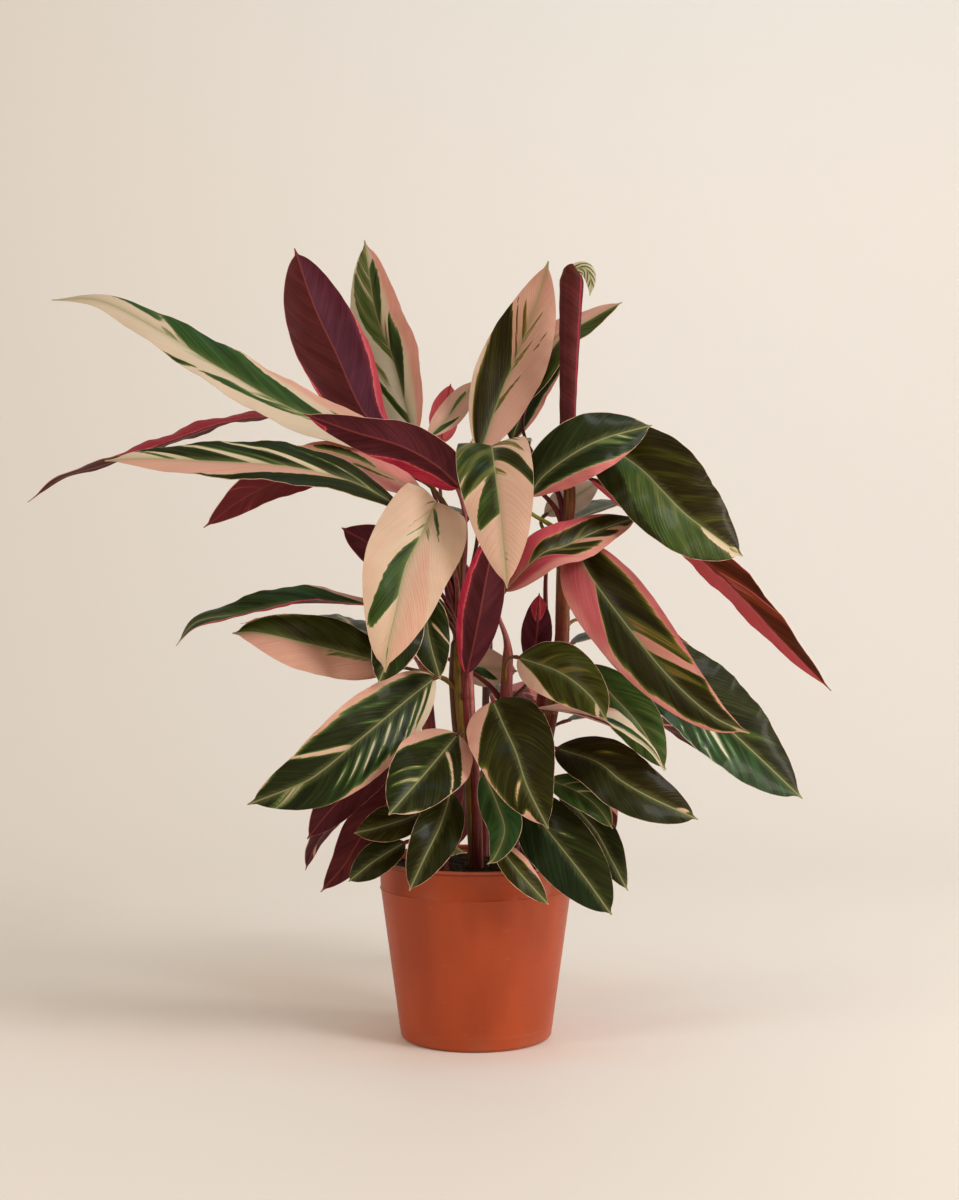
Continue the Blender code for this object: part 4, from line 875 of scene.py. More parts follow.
def smooth_path(points, count):
    """count + 1 evenly spaced points on a Catmull-Rom curve through points, and its length."""
    ends = [points[0] * 2 - points[1]] + list(points) + [points[-1] * 2 - points[-2]]
    fine = []
    for i in range(len(points) - 1):
        a, b, c, d = ends[i:i + 4]
        for step in range(CURVE_STEPS):
            t = step / CURVE_STEPS
            fine.append(0.5 * (2 * b + (c - a) * t + (2 * a - 5 * b + 4 * c - d) * t * t
                               + (3 * b - a - 3 * c + d) * t ** 3))
    fine.append(points[-1])
    lengths = [0.0]
    for a, b in zip(fine, fine[1:]):
        lengths.append(lengths[-1] + (b - a).length)
    path = []
    i = 0
    for k in range(count + 1):
        want = lengths[-1] * k / count
        while i < len(fine) - 2 and lengths[i + 1] < want:
            i += 1
        path.append(fine[i].lerp(fine[i + 1], (want - lengths[i]) / (lengths[i + 1] - lengths[i])))
    return path, lengths[-1]


def directions(path):
    steps = [(b - a).normalized() for a, b in zip(path, path[1:])]
    middle = [(a + b).normalized() for a, b in zip(steps, steps[1:])]
    return [steps[0]] + middle + [steps[-1]]


def carried_faces(tangents, start, face):
    """The upper face's direction at each point, carried along the path without turning about it."""
    faces = [None] * len(tangents)
    faces[start] = face
    for i in range(start + 1, len(tangents)):
        faces[i] = tangents[i - 1].rotation_difference(tangents[i]) @ faces[i - 1]
    for i in range(start - 1, -1, -1):
        faces[i] = tangents[i + 1].rotation_difference(tangents[i]) @ faces[i + 1]
    return faces


def face_to_eye(path, tangents, form, length):
    """The faces along a front blade, turned about the midrib from EYE as its form says."""
    station = SHORT_STATION if length < SHORT_LEAF * MM else LONG_STATION
    middle = round(station * (len(path) - 1))
    to_eye = (EYE * MM - path[middle]).normalized()
    across_view = to_eye.cross(tangents[middle]).normalized()
    flat_view = tangents[middle].cross(across_view).normalized()
    turn = math.radians(form["turn"])
    return carried_faces(tangents, middle, flat_view * math.cos(turn) + across_view * math.sin(turn))


def blade_outline(u, widest, full):
    """Half width at u from base to tip, as a share of the greatest: a long oval with a drawn-out tip."""
    body = min(u / OVAL_END, 1)
    oval = math.sin(math.pi * body ** (math.log(0.5) / math.log(widest))) ** full if body < 1 else 0
    return max(oval, TIP_TAPER * (1 - u)) if u > TAPER_START else oval


def rise(low, high, value):
    t = max(0.0, min(1.0, (value - low) / (high - low)))
    return t * t * (3 - 2 * t)


def inside(value, start, end, soft):
    """How far value lies between start and end, with soft ends that don't fade at 0 and 1."""
    low = 1 if start <= 0 else rise(start - soft, start + soft, value)
    high = 1 if end >= 1 else 1 - rise(end - soft, end + soft, value)
    return low * high


def marking(looks, half, run, across):
    """The shade and the blush of a spot on one half of a blade. A patch off the midrib narrows
    towards its outer end like a flame, and one along the margin thins towards its ends."""
    shade, blush = looks["ground"], looks["blush"]
    for side, start, end, inner, outer, patch_shade, patch_blush in looks["patches"]:
        if side != half:
            continue
        low, high, near = start, end, inner
        if outer >= 1 and inner > MARGIN_PATCH:
            place = (run - start) / (end - start)
            if end < 1:
                near += (PAST_MARGIN - inner) * max(0, min(1, place)) ** PATCH_SHARPNESS
            if start > 0:
                near += (PAST_MARGIN - near) * (1 - rise(0.0, PATCH_RISE, place))
        else:
            out = max(0.0, min(1.0, (across - inner) / (outer - inner)))
            if start > 0:
                low += (end - start) * (FLAME_LEAN if outer < FLAME_TIP else BAND_LEAN) * out ** 2
            if end < 1:
                high -= (end - start) * BAND_TRIM * out ** 2
        share = inside(run, low, high, SOFT_ALONG) * inside(across, near, outer, SOFT_ACROSS)
        shade += (patch_shade - shade) * share
        blush += (patch_blush - blush) * share
    return shade, blush


def blade_sheet(path, length, faces, form, looks, seed):
    """An open blade as a bmesh, with what its material reads in layers of its points."""
    bm = bmesh.new()
    bmesh.ops.create_grid(bm, x_segments=BLADE_COLUMNS, y_segments=len(path) - 1, size=1)
    # The diagonals follow the side veins, so that the markings do too
    for half, method in ((LEFT, "ALTERNATE"), (RIGHT, "FIXED")):
        quads = [face for face in bm.faces if face.calc_center_median().x * half > 0]
        bmesh.ops.triangulate(bm, faces=quads, quad_method=method)
    blade_layer = bm.verts.layers.float_vector.new("blade")
    pale, blush, tone, edge = [bm.verts.layers.float.new(name) for name in BLADE_LAYERS]
    tangents = directions(path)
    waves = length / MM / WAVE_LENGTH
    for vert in bm.verts:
        spread, along = vert.co.x, (vert.co.y + 1) / 2
        across = math.copysign(abs(spread) ** SPREAD_POWER, spread)
        out = abs(across)
        i = round(along * (len(path) - 1))
        half = max(form["width"] / 2 * MM * blade_outline(along, form["widest"], form["full"]),
                   (BASE_HALF_WIDTH * (1 - along) + TIP_HALF_WIDTH * along) * MM)
        half *= 1 + UNEVEN_EDGE * noise.noise(Vector((along * UNEVEN_RATE, seed, math.copysign(3, across))))
        side = tangents[i].cross(faces[i]).normalized()
        fold = math.radians(form["fold"]) * math.sin(math.pi * min(1, FOLD_AT_BASE + along))
        swell = math.sin(math.pi * along) * out ** 2
        wave = form["wave"] * MM * swell * math.sin(2 * math.pi * waves * along + WAVE_SHIFT * (across > 0))
        wave += RIPPLE * half * swell * math.sin(2 * math.pi * length / MM / RIPPLE_LENGTH * along + seed)
        crown = CROWN * half * math.sin(math.pi * out)
        vert.co = (path[i] + side * across * half * math.cos(fold)
                   + faces[i] * (out * half * math.sin(fold) + wave + crown))
        run = along - (looks["lag"] + VEIN_CURVE * out) * out * half / length
        if out > 0.001:
            halves = [RIGHT if across > 0 else LEFT]
        else:
            halves = [LEFT, RIGHT]
        streak = Vector((run * length / MM / FRAY_LENGTH, seed, 7.0 * halves[0]))
        frayed = out * (1 + FRAY * noise.noise(streak))
        values = [marking(looks, each, run, frayed) for each in halves]
        vert[pale] = sum(value[0] for value in values) / len(values)
        vert[blush] = sum(value[1] for value in values) / len(values)
        vert[tone] = sum(looks["tone"][each > 0] for each in halves) / len(halves)
        vert[edge] = (1 - out) * half / MM / looks["edge"]
        vert[blade_layer] = Vector((run * length * VEIN_SCALE, across * half * ACROSS_SCALE, seed))
    return bm


def mesh_of(bm, name="piece"):
    mesh = bpy.data.meshes.new(name)
    bm.to_mesh(mesh)
    bm.free()
    return mesh


def modified(mesh, kind, **settings):
    """The mesh as a modifier with these settings leaves it."""
    obj = add_piece("body", mesh)
    modifier = obj.modifiers.new("Shape", kind)
    for key, value in settings.items():
        setattr(modifier, key, value)
    graph = bpy.context.evaluated_depsgraph_get()
    result = bpy.data.meshes.new_from_object(obj.evaluated_get(graph))
    bpy.data.objects.remove(obj)
    return result


def smooth_with_edges(bm, angle):
    """Smooth shading everywhere but across edges that are sharper than the angle in degrees."""
    for face in bm.faces:
        face.smooth = True
    for edge in bm.edges:
        edge.smooth = not edge.is_manifold or edge.calc_face_angle(0) < math.radians(angle)


def smoothed(mesh, angle):
    bm = bmesh.new()
    bm.from_mesh(mesh)
    smooth_with_edges(bm, angle)
    bm.to_mesh(mesh)
    bm.free()
    return mesh


def thickened(bm, materials):
    """The sheet as a mesh with a thickness, its back in the second material and its rim in the first."""
    mesh = mesh_of(bm)
    for material in materials:
        mesh.materials.append(material)
    solid = modified(mesh, "SOLIDIFY", thickness=THICKNESS * MM, offset=0,
                     material_offset=len(materials) - 1)
    return smoothed(solid, BLADE_ANGLE)


def blade_mesh(path, length, faces, form, looks, seed, materials):
    return thickened(blade_sheet(path, length, faces, form, looks, seed), materials)


def tube_mesh(path, radii, tints, material, sides=12):
    """A closed round rod along path, with a colour for each of its points."""
    bm = bmesh.new()
    rows = len(path) - 1
    bmesh.ops.create_grid(bm, x_segments=sides, y_segments=rows, size=1)
    layer = bm.verts.layers.float_color.new("tint")
    tangents = directions(path)
    first = tangents[0].orthogonal().normalized()
    faces = carried_faces(tangents, 0, first)
    for vert in bm.verts:
        i = round((vert.co.y + 1) / 2 * rows)
        angle = math.pi * (vert.co.x + 1)
        side = tangents[i].cross(faces[i])
        ring = faces[i] * math.cos(angle) + side * math.sin(angle)
        vert.co = path[i] + ring * radii[i]
        vert[layer] = (*tints[i], 1)
    bmesh.ops.remove_doubles(bm, verts=bm.verts, dist=0.001 * MM)
    bmesh.ops.holes_fill(bm, edges=[edge for edge in bm.edges if edge.is_boundary])
    bmesh.ops.recalc_face_normals(bm, faces=bm.faces)
    smooth_with_edges(bm, TUBE_ANGLE)
    mesh = mesh_of(bm)
    mesh.materials.append(material)
    return mesh


def joined(name, meshes):
    """One object of several meshes, each with its own materials."""
    slots = []
    bm = bmesh.new()
    for mesh in meshes:
        start = len(bm.faces)
        bm.from_mesh(mesh)
        bm.faces.ensure_lookup_table()
        numbers = []
        for material in mesh.materials:
            if material not in slots:
                slots.append(material)
            numbers.append(slots.index(material))
        for face in bm.faces[start:]:
            face.material_index = numbers[face.material_index]
        bpy.data.meshes.remove(mesh)
    whole = mesh_of(bm, name)
    for material in slots:
        whole.materials.append(material)
    return add_piece(name, whole)


def add_piece(name, mesh):
    mesh.name = name
    obj = bpy.data.objects.new(name, mesh)
    bpy.context.scene.collection.objects.link(obj)
    return obj


def stand_for(obj, node):
    """The piece rides on the root and stands for its solid, which is hidden."""
    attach(obj, "root")
    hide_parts(node)


def between(cane, height):
    """The centre of a cane at a height, both in metres."""
    for low, high in zip(cane, cane[1:]):
        if height <= high.z:
            break
    return low.lerp(high, max(0, min(1, (height - low.z) / (high.z - low.z))))


def bent_stalk(root, top, top_way, count):
    """Points of a stalk that leaves the cane upward and runs into the blade's base."""
    bend = (top - root).length * PETIOLE_BEND
    a, b, c, d = root, root + UP * bend, top - top_way * bend, top
    return [a * (1 - t) ** 3 + 3 * b * t * (1 - t) ** 2 + 3 * c * t * t * (1 - t) + d * t ** 3
            for t in (k / count for k in range(count + 1))]


def mixed(first, second, share):
    return tuple(a + (b - a) * share for a, b in zip(first, second))


def stalk_mesh(cane, root, top, top_way, tint, material):
    """A stalk with the sheath that wraps the cane below it and the swollen joint at its top."""
    path = bent_stalk(root, top, top_way, STALK_STEPS)
    low = max(root.z - SHEATH_LENGTH * MM, SOIL_TOP * MM)
    sheath = [between(cane, low + (root.z - low) * k / SHEATH_STEPS) for k in range(SHEATH_STEPS)]
    lean = Vector((top.x - root.x, top.y - root.y, 0)).normalized()
    sheath = [place + lean * SHEATH_LEAN * MM * k / SHEATH_STEPS for k, place in enumerate(sheath)]
    path = [place + lean * SHEATH_LEAN * MM * (1 - k / STALK_STEPS) ** 3 for k, place in enumerate(path)]
    whole = sheath + path
    radii = []
    tints = []
    for k in range(len(whole)):
        if k < len(sheath):
            share = k / len(sheath)
            radii.append((SHEATH_FOOT_RADIUS - SHEATH_TAPER * share) * MM)
            tints.append(mixed(RED, mixed(RED, tint, 0.5), share))
            continue
        share = (k - len(sheath)) / (len(path) - 1)
        radius = PETIOLE_ROOT_RADIUS + (PETIOLE_TOP_RADIUS - PETIOLE_ROOT_RADIUS) * share
        radius += ROOT_SWELL * math.exp(-share * ROOT_FADE)
        radius += JOINT_SWELL * math.exp(-((share - JOINT_PLACE) / JOINT_SPREAD) ** 2)
        radii.append(radius * MM)
        tints.append(mixed(tint, RED, max(0.55 * math.exp(-share * 5), 0.7 * rise(0.86, 0.92, share))))
    return tube_mesh(whole, radii, tints, material, STALK_SIDES)


def cane_meshes(places, radii, tints, material):
    """A cane of leaf sheaths side by side around a core, one sheath to each tint. The core is the darkest
    purple, painted shade that shows in the gaps between the sheaths.
    """
    path, _ = smooth_path(places, CANE_STEPS)
    total = len(path) - 1
    sizes = []
    for place in path:
        for (low, a), (high, b) in zip(zip(places, radii), zip(places[1:], radii[1:])):
            if place.z <= high.z + 1e-6:
                break
        share = max(0, min(1, (place.z - low.z) / (high.z - low.z)))
        sizes.append(a + (b - a) * share)
    sizes[-1] *= CANE_TOP_SHARE
    # The core in the darkest purple is painted shade for the gaps between the sheaths
    meshes = [tube_mesh(path, [size * CORE_SHARE for size in sizes], [PURPLE] * (total + 1), material)]
    for number, tint in enumerate(tints):
        strand, thick, colours = [], [], []
        for k, (place, size) in enumerate(zip(path, sizes)):
            angle = 2 * math.pi * number / len(tints) + STRAND_TWIST * k / total
            angle += STRAND_SWAY * math.sin(k * 0.12 + number)
            width = STRAND_SHARE * (1 + STRAND_SWELL * math.sin(k * 0.3 + 2 * number))
            strand.append(place + level_way(angle) * size * (STRAND_REACH - width))
            thick.append(size * width)
            foot = 0.75 * (1 - rise(0.05, 0.45, k / total))
            colours.append(mixed(tint, RED, foot))
        meshes.append(tube_mesh(strand, thick, colours, material))
    return meshes


def arched_places(base, heading, reach, start_rise, droop):
    """Points up a midrib that leaves base at the rise angle and bends down by the droop angle."""
    flat = level_way(math.radians(heading))
    places = [base]
    for k in range(BACK_ARCH_PIECES):
        bent = (k + 0.5) / (BACK_ARCH_PIECES - 0.5)
        angle = math.radians(start_rise - droop * BACK_BEND * bent)
        step = flat * math.cos(angle) + UP * math.sin(angle)
        places.append(places[-1] + step * reach / BACK_ARCH_PIECES * MM)
    return places


def grown_look(rng):
    """Markings for a blade that the photograph doesn't show: streaks along the veins, pale margins."""
    patches = []
    for half in (LEFT, RIGHT):
        for _ in range(rng.randint(2, 4)):
            start = rng.uniform(0.05, 0.85)
            inner = rng.choice((0, 0.15, 0.4))
            patches.append((half, start, start + rng.uniform(0.03, 0.09), inner, 1,
                            rng.uniform(0.5, 1), rng.uniform(0.1, 0.4)))
    if rng.random() < 0.4:
        half = rng.choice((LEFT, RIGHT))
        patches.insert(0, (half, 0, rng.uniform(0.4, 1), rng.uniform(0.2, 0.5), 1, 1, rng.uniform(0.3, 0.7)))
    tone = rng.uniform(-0.2, 0.4)
    return look(*patches, tone=(tone, tone), edge=rng.uniform(0.5, 1.3))


def shoot_cane(foot_x, foot_y, lean_x, lean_y, top):
    """The centres and radii of a slim cane straight up out of the soil that then leans."""
    rows = [(0, STEM_FOOT, 4.5), (0, SOIL_TOP + 8, 4.5), (0.5, (SOIL_TOP + top) / 2, 4), (1, top, 3)]
    places = [Vector((foot_x + lean_x * lean, foot_y + lean_y * lean, height)) * MM
              for lean, height, _ in rows]
    return places, [radius * MM for _, _, radius in rows]


def outer_radius(height):
    """The pot's outer wall, a straight taper up to the bead and a steeper band above it."""
    if height < BEAD_HEIGHT:
        return FOOT_RADIUS + (BEAD_RADIUS - FOOT_RADIUS) * height / BEAD_HEIGHT
    pot_height = POT_HIGH.z / MM
    top = POT_HIGH.x / MM - LIP_OUT
    return BEAD_RADIUS + (top - BEAD_RADIUS) * (height - BEAD_HEIGHT) / (pot_height - BEAD_HEIGHT)


def arc(centre, radius, start, end, count):
    """(radius, height) points on an arc from start to end degrees."""
    angles = [math.radians(start + (end - start) * k / count) for k in range(count + 1)]
    return [(centre[0] + radius * math.cos(a), centre[1] + radius * math.sin(a)) for a in angles]


def pot_profile():
    """From the floor's centre inside, up the wall, over the lip and down to the foot's centre."""
    height = POT_HIGH.z / MM
    rim = POT_HIGH.x / MM
    inner_top = outer_radius(height) - WALL
    inside_foot = outer_radius(FLOOR + CORNER_ROUND) - WALL
    lip_low = height - LIP_HEIGHT
    profile = [(0, FLOOR), (20, FLOOR), (DRAIN_CIRCLE, FLOOR)]
    profile += arc((inside_foot - CORNER_ROUND, FLOOR + CORNER_ROUND), CORNER_ROUND, -90, 0, 4)
    profile += [(outer_radius(h) - WALL, h) for h in (30, 60, 95, BEAD_HEIGHT, 142)]
    profile += arc((inner_top + INNER_ROUND, height - INNER_ROUND), INNER_ROUND, 180, 90, 4)
    profile += arc((rim - RIM_ROUND, height - RIM_ROUND), RIM_ROUND, 90, 0, 5)
    profile += arc((rim - RIM_ROUND, lip_low + RIM_ROUND), RIM_ROUND, 0, -80, 4)
    profile += [(outer_radius(lip_low) + 0.12, lip_low - 0.25), (outer_radius(lip_low), lip_low - 0.7)]
    for k in range(9):
        share = k / 8
        swell = BEAD_SWELL * math.sin(math.pi * share) ** 1.5
        level = BEAD_HEIGHT + BEAD_HALF - 2 * BEAD_HALF * share
        profile.append((outer_radius(level) + swell, level))
    profile += [(outer_radius(h), h) for h in (120, 100, 80, 60, 40, 22, 14)]
    for k in range(5):
        level = RIDGE_HEIGHT - k * 0.6
        profile.append((outer_radius(level) + RIDGE_SWELL * math.sin(math.pi * k / 4), level))
    profile += arc((FOOT_RADIUS - FOOT_ROUND + 0.6, FOOT_ROUND), FOOT_ROUND, 0, -90, 8)
    profile += [(DRAIN_CIRCLE, 0), (20, 0), (0, 0)]
    return profile


def spun(profile, steps):
    """A closed turned shape as a bmesh, from (radius, height) points in millimetres."""
    bm = bmesh.new()
    verts = [bm.verts.new((radius * MM, 0, height * MM)) for radius, height in profile]
    edges = [bm.edges.new(pair) for pair in zip(verts, verts[1:])]
    bmesh.ops.spin(bm, geom=verts + edges, cent=(0, 0, 0), axis=(0, 0, 1), angle=2 * math.pi,
                   steps=steps, use_merge=True)
    bmesh.ops.remove_doubles(bm, verts=bm.verts, dist=0.002 * MM)
    bmesh.ops.recalc_face_normals(bm, faces=bm.faces)
    return bm


def pot_mesh():
    """The moulded shell with its drain holes drilled."""
    drills = bmesh.new()
    for k in range(DRAIN_COUNT):
        spot = (DRAIN_CIRCLE * level_way(2 * math.pi * k / DRAIN_COUNT) + UP * FLOOR / 2) * MM
        bmesh.ops.create_cone(drills, cap_ends=True, segments=32, radius1=DRAIN_RADIUS * MM,
                              radius2=DRAIN_RADIUS * MM, depth=3 * FLOOR * MM,
                              matrix=Matrix.Translation(spot))
    cutter = add_piece("drill", mesh_of(drills))
    body = modified(mesh_of(spun(pot_profile(), 144)), "BOOLEAN", operation="DIFFERENCE", object=cutter)
    bpy.data.objects.remove(cutter)
    return smoothed(body, POT_ANGLE)


def dome_height(part, whole):
    """The height of the soil's top at part of the whole way out from the pot's axis."""
    dome = SOIL_HIGH.z / MM - SOIL_TOP
    return SOIL_TOP + dome * 0.85 * math.cos(math.pi / 2 * part / whole) ** 0.7


def soil_mesh(crumbs):
    """The filled pot's soil: an uneven domed top with crumbs of peat and bark, and a plain plug below."""
    rng = random.Random(11)
    inner = outer_radius(SOIL_TOP) - WALL - SOIL_GAP
    low = FLOOR + 0.4
    profile = [(inner * k / SOIL_RINGS, dome_height(k, SOIL_RINGS)) for k in range(SOIL_RINGS)]
    profile += [(inner, SOIL_TOP - 1.5), (outer_radius(BEAD_HEIGHT) - WALL - SOIL_GAP, BEAD_HEIGHT),
                (outer_radius(low + 4) - WALL - 0.4, low + 4), (outer_radius(low + 4) - WALL - 4.4, low),
                (0, low)]
    bm = spun(profile, 120)
    for vert in bm.verts:
        if vert.co.z > (SOIL_TOP - 1) * MM:
            rough = noise.fractal(vert.co * 160, 1.0, 2.2, 4)
            vert.co.z += (rough * 1.1 - 0.4) * MM
    for _ in range(crumbs):
        heading = rng.uniform(0, 2 * math.pi)
        out = (inner - 3) * math.sqrt(rng.uniform(0.02, 1))
        size = rng.uniform(0.7, 2.3) * MM
        spot = (out * level_way(heading) + UP * (dome_height(out, inner) - 0.4)) * MM
        turn = Matrix.Rotation(rng.uniform(0, 6.3), 4, "Z") @ Matrix.Rotation(rng.uniform(0, 6.3), 4, "X")
        shape = Matrix.Diagonal((1, rng.uniform(0.4, 1), rng.uniform(0.35, 0.8), 1))
        made = bmesh.ops.create_icosphere(bm, subdivisions=1, radius=size,
                                          matrix=Matrix.Translation(spot) @ turn @ shape)
        for vert in made["verts"]:
            vert.co += noise.noise_vector(vert.co * 700) * size * 0.3
    for face in bm.faces:
        face.smooth = True
    return mesh_of(bm)


def rolled_sheet():
    """The newest blade, rolled about its own length: its underside is the outside of the roll."""
    places = real_places(ROLLED_AXIS)
    path, length = smooth_path(places, ROLL_ROWS)
    bm = bmesh.new()
    bmesh.ops.create_grid(bm, x_segments=ROLL_COLUMNS, y_segments=ROLL_ROWS, size=1)
    blade_layer = bm.verts.layers.float_vector.new("blade")
    pale, blush, tone, edge = [bm.verts.layers.float.new(name) for name in BLADE_LAYERS]
    for vert in bm.verts:
        around, along = (vert.co.x + 1) / 2, (vert.co.y + 1) / 2
        place = path[round(along * ROLL_ROWS)]
        spot = along * (len(ROLLED_AXIS) - 1)
        low = min(int(spot), len(ROLLED_AXIS) - 2)
        radius = ROLLED_AXIS[low][3] + (ROLLED_AXIS[low + 1][3] - ROLLED_AXIS[low][3]) * (spot - low)
        radius -= ROLL_STEP * (1 - around)
        radius += ROLL_SWAY * math.sin(along * 40 + around * 9) * around
        angle = 2 * math.pi * ROLL_TURNS * (around - 1) + ROLL_SEAM
        dome = rise(0.95, 1, along)
        radius *= 1 - ROLL_CLOSE * dome * dome
        across = radius * math.cos(angle)
        lift = ROLL_POINT * along ** 8 * (1 - (across / ROLL_WIDTH + 0.1) ** 2)
        vert.co = place + Vector((across, radius * math.sin(angle), lift)) * MM
        vert[pale] = rise(0.982, 0.99, around)
        vert[edge] = FAR_FROM_EDGE
        vert[blush] = 1.0
        vert[tone] = 0.25 + 0.75 * rise(0.93, 1, along) - 0.3 * (1 - around)
        run = (along + around * ROLL_SLANT) * length
        vert[blade_layer] = Vector((run * VEIN_SCALE, (around - 0.5) * 9, 4.0))
    return bm


def rows_along_veins(places, form, looks):
    """How many rows make the diagonals of a blade's squares follow its side veins."""
    _, length = smooth_path(places, 1)
    column = form["width"] * MM / BLADE_COLUMNS
    return max(LEAST_ROWS, min(MOST_ROWS, round(length / ((looks["lag"] + 0.3) * column))))


def plain_blade(places, form, looks, seed, materials, rows=None):
    """A blade on real places, its upper face turned from EYE as its form says."""
    path, length = smooth_path(places, rows or rows_along_veins(places, form, looks))
    faces = face_to_eye(path, directions(path), form, length)
    return blade_mesh(path, length, faces, form, looks, seed, materials)


def material(name, make, *settings):
    return bpy.data.materials.get(name) or make(*settings)


def leaf_materials(context):
    colours = context.scene.stromanthe_leaves
    return [material("Leaf upper face", leaf_upper, colours), material("Leaf underside", leaf_under, colours)]


def colour_setting(name, description, default):
    return FloatVectorProperty(name=name, description=description, subtype="COLOR", default=default,
                               min=0, max=1)


def power_setting(name, description, default):
    return FloatProperty(name=name, description=description, default=default, min=0, unit="POWER")


class StromantheLeafSettings(bpy.types.PropertyGroup):
    """The colours of the blades."""

    green: colour_setting("Green", "Green of a blade's upper face", (0.042, 0.090, 0.016))
    cream: colour_setting("Cream", "Blade where it has neither green nor pink", (0.62, 0.56, 0.40))
    pink: colour_setting("Pink", "Pale pink of a blade's margins", (0.65, 0.39, 0.275))
    maroon: colour_setting("Maroon", "Underside of a blade", (0.105, 0.018, 0.024))


class StromanthePotSettings(bpy.types.PropertyGroup):
    """The colours of the pot and how much loose soil lies in it."""

    body: colour_setting("Plastic", "Colour of the pot", (0.42, 0.062, 0.012))
    body_dark: colour_setting("Plastic, darker", "Darker streaks in the plastic", (0.34, 0.048, 0.010))
    crumbs: IntProperty(name="Crumbs", description="Loose crumbs on the soil", default=320, min=0, max=2000)


class StromantheStudioSettings(bpy.types.PropertyGroup):
    """The studio: its backdrop, its camera and its lights."""

    backdrop: colour_setting("Backdrop", "Colour of the paper", (0.93, 0.855, 0.785))
    lens: FloatProperty(name="Lens", description="Focal length of the camera, for a 36 mm frame height",
                        default=FOCAL_PIXELS / IMAGE_HEIGHT * SENSOR, min=10, unit="CAMERA")
    distance: FloatProperty(name="Camera distance", description="From the pot's axis to the camera",
                            default=-EYE.y * MM, min=0.1, unit="LENGTH", subtype="DISTANCE")
    key_power: power_setting("Key light", "Power of the main soft light", 64)
    fill_power: power_setting("Fill light", "Power of the soft light from the left", 9)
    paper_power: power_setting("Paper light", "Power of the light on the paper behind", 17)
    side_power: power_setting("Side light", "Power of the low light from the right", 13)


class STROMANTHE_OT_pot(bpy.types.Operator):
    """Adds the moulded pot with its lip, bead and drain holes"""

    bl_idname = "stromanthe.pot"
    bl_label = "Pot"

    def execute(self, context):
        mesh = pot_mesh()
        mesh.materials.clear()
        mesh.materials.append(material("Terracotta plastic", pot_plastic, context.scene.stromanthe_pot))
        stand_for(add_piece("pot_shell", mesh), "pot")
        return {"FINISHED"}


class STROMANTHE_OT_soil(bpy.types.Operator):
    """Adds the soil with its loose crumbs"""

    bl_idname = "stromanthe.soil"
    bl_label = "Soil"

    def execute(self, context):
        mesh = soil_mesh(context.scene.stromanthe_pot.crumbs)
        mesh.materials.append(material("Potting soil", potting_soil))
        stand_for(add_piece("soil_fill", mesh), "soil")
        return {"FINISHED"}


class STROMANTHE_OT_leaves(bpy.types.Operator):
    """Adds each front leaf as a waved blade with its markings"""

    bl_idname = "stromanthe.leaves"
    bl_label = "Leaves"

    def execute(self, context):
        materials = leaf_materials(context)
        for number, (name, form) in enumerate(LEAVES.items()):
            if name == "dry_leaf":
                continue
            mesh = plain_blade(real_places(form["points"]), form, LOOKS[name], 10 + number * 1.7, materials)
            stand_for(add_piece("blade_" + name.removeprefix("leaf_"), mesh), name)
        return {"FINISHED"}


class STROMANTHE_OT_new_leaf(bpy.types.Operator):
    """Adds the rolled new leaf with its loose striped tip"""

    bl_idname = "stromanthe.new_leaf"
    bl_label = "Rolled new leaf"

    def execute(self, context):
        upper, under = leaf_materials(context)
        roll = thickened(rolled_sheet(), [under, upper])
        form = leaf("cane_right", 12, 0, [], fold=-10, wave=0.6, widest=0.45, full=0.8)
        bands = [(half, start, start + 0.1, 0, 1, 0.34, 0) for start in (0.06, 0.25, 0.44, 0.63)
                 for half in (LEFT, RIGHT)]
        stripes = look(*bands, ground=1, blush=0, tone=(0.2, 0.2), lag=2.4)
        tip = plain_blade(real_places(ROLL_TIP), form, stripes, 3.0, [upper, under], SMALL_ROWS)
        stand_for(joined("new_leaf_roll", [roll, tip]), "rolled_leaf")
        return {"FINISHED"}


class STROMANTHE_OT_dry_leaf(bpy.types.Operator):
    """Adds the dried scraps of leaf that lie inside the rim"""

    bl_idname = "stromanthe.dry_leaf"
    bl_label = "Dry leaf"

    def execute(self, context):
        straw = [material("Dry leaf", dry_blade)]
        form = dict(LEAVES["dry_leaf"], wave=2.2, fold=22)
        scrap = plain_blade(real_places(form["points"]), form, PLAIN, 2.0, straw, SMALL_ROWS)
        stand_for(add_piece("dry_scrap", scrap), "dry_leaf")
        return {"FINISHED"}


class STROMANTHE_OT_stalks(bpy.types.Operator):
    """Adds each front cane with the sheathed stalks of its leaves"""

    bl_idname = "stromanthe.stalks"
    bl_label = "Canes and stalks"

    def execute(self, context):
        rng = random.Random(5)
        skin = material("Stalk", stalk_skin)
        for name, entries in CANES.items():
            places = real_places(entries)
            meshes = cane_meshes(places, [entry[3] * MM for entry in entries], CANE_TINTS[name], skin)
            for leaf_name, form in LEAVES.items():
                if form["stem"] != name:
                    continue
                path, _ = smooth_path(real_places(form["points"]), 8)
                way = directions(path)[0]
                highest = places[-1].z - BELOW_TOP * MM
                height = form["joins"] * MM if form["joins"] else min(highest, path[0].z - LEAST_RISE * MM)
                root = between(places, min(highest, max(height, (SOIL_TOP + ABOVE_SOIL) * MM)))
                tint = STALK_TINTS.get(leaf_name) or rng.choice(STALK_MIX)
                meshes.append(stalk_mesh(places, root, path[0] + way * STALK_OVERLAP * MM, way, tint, skin))
            stand_for(joined("stalks_" + name, meshes), name)
        return {"FINISHED"}


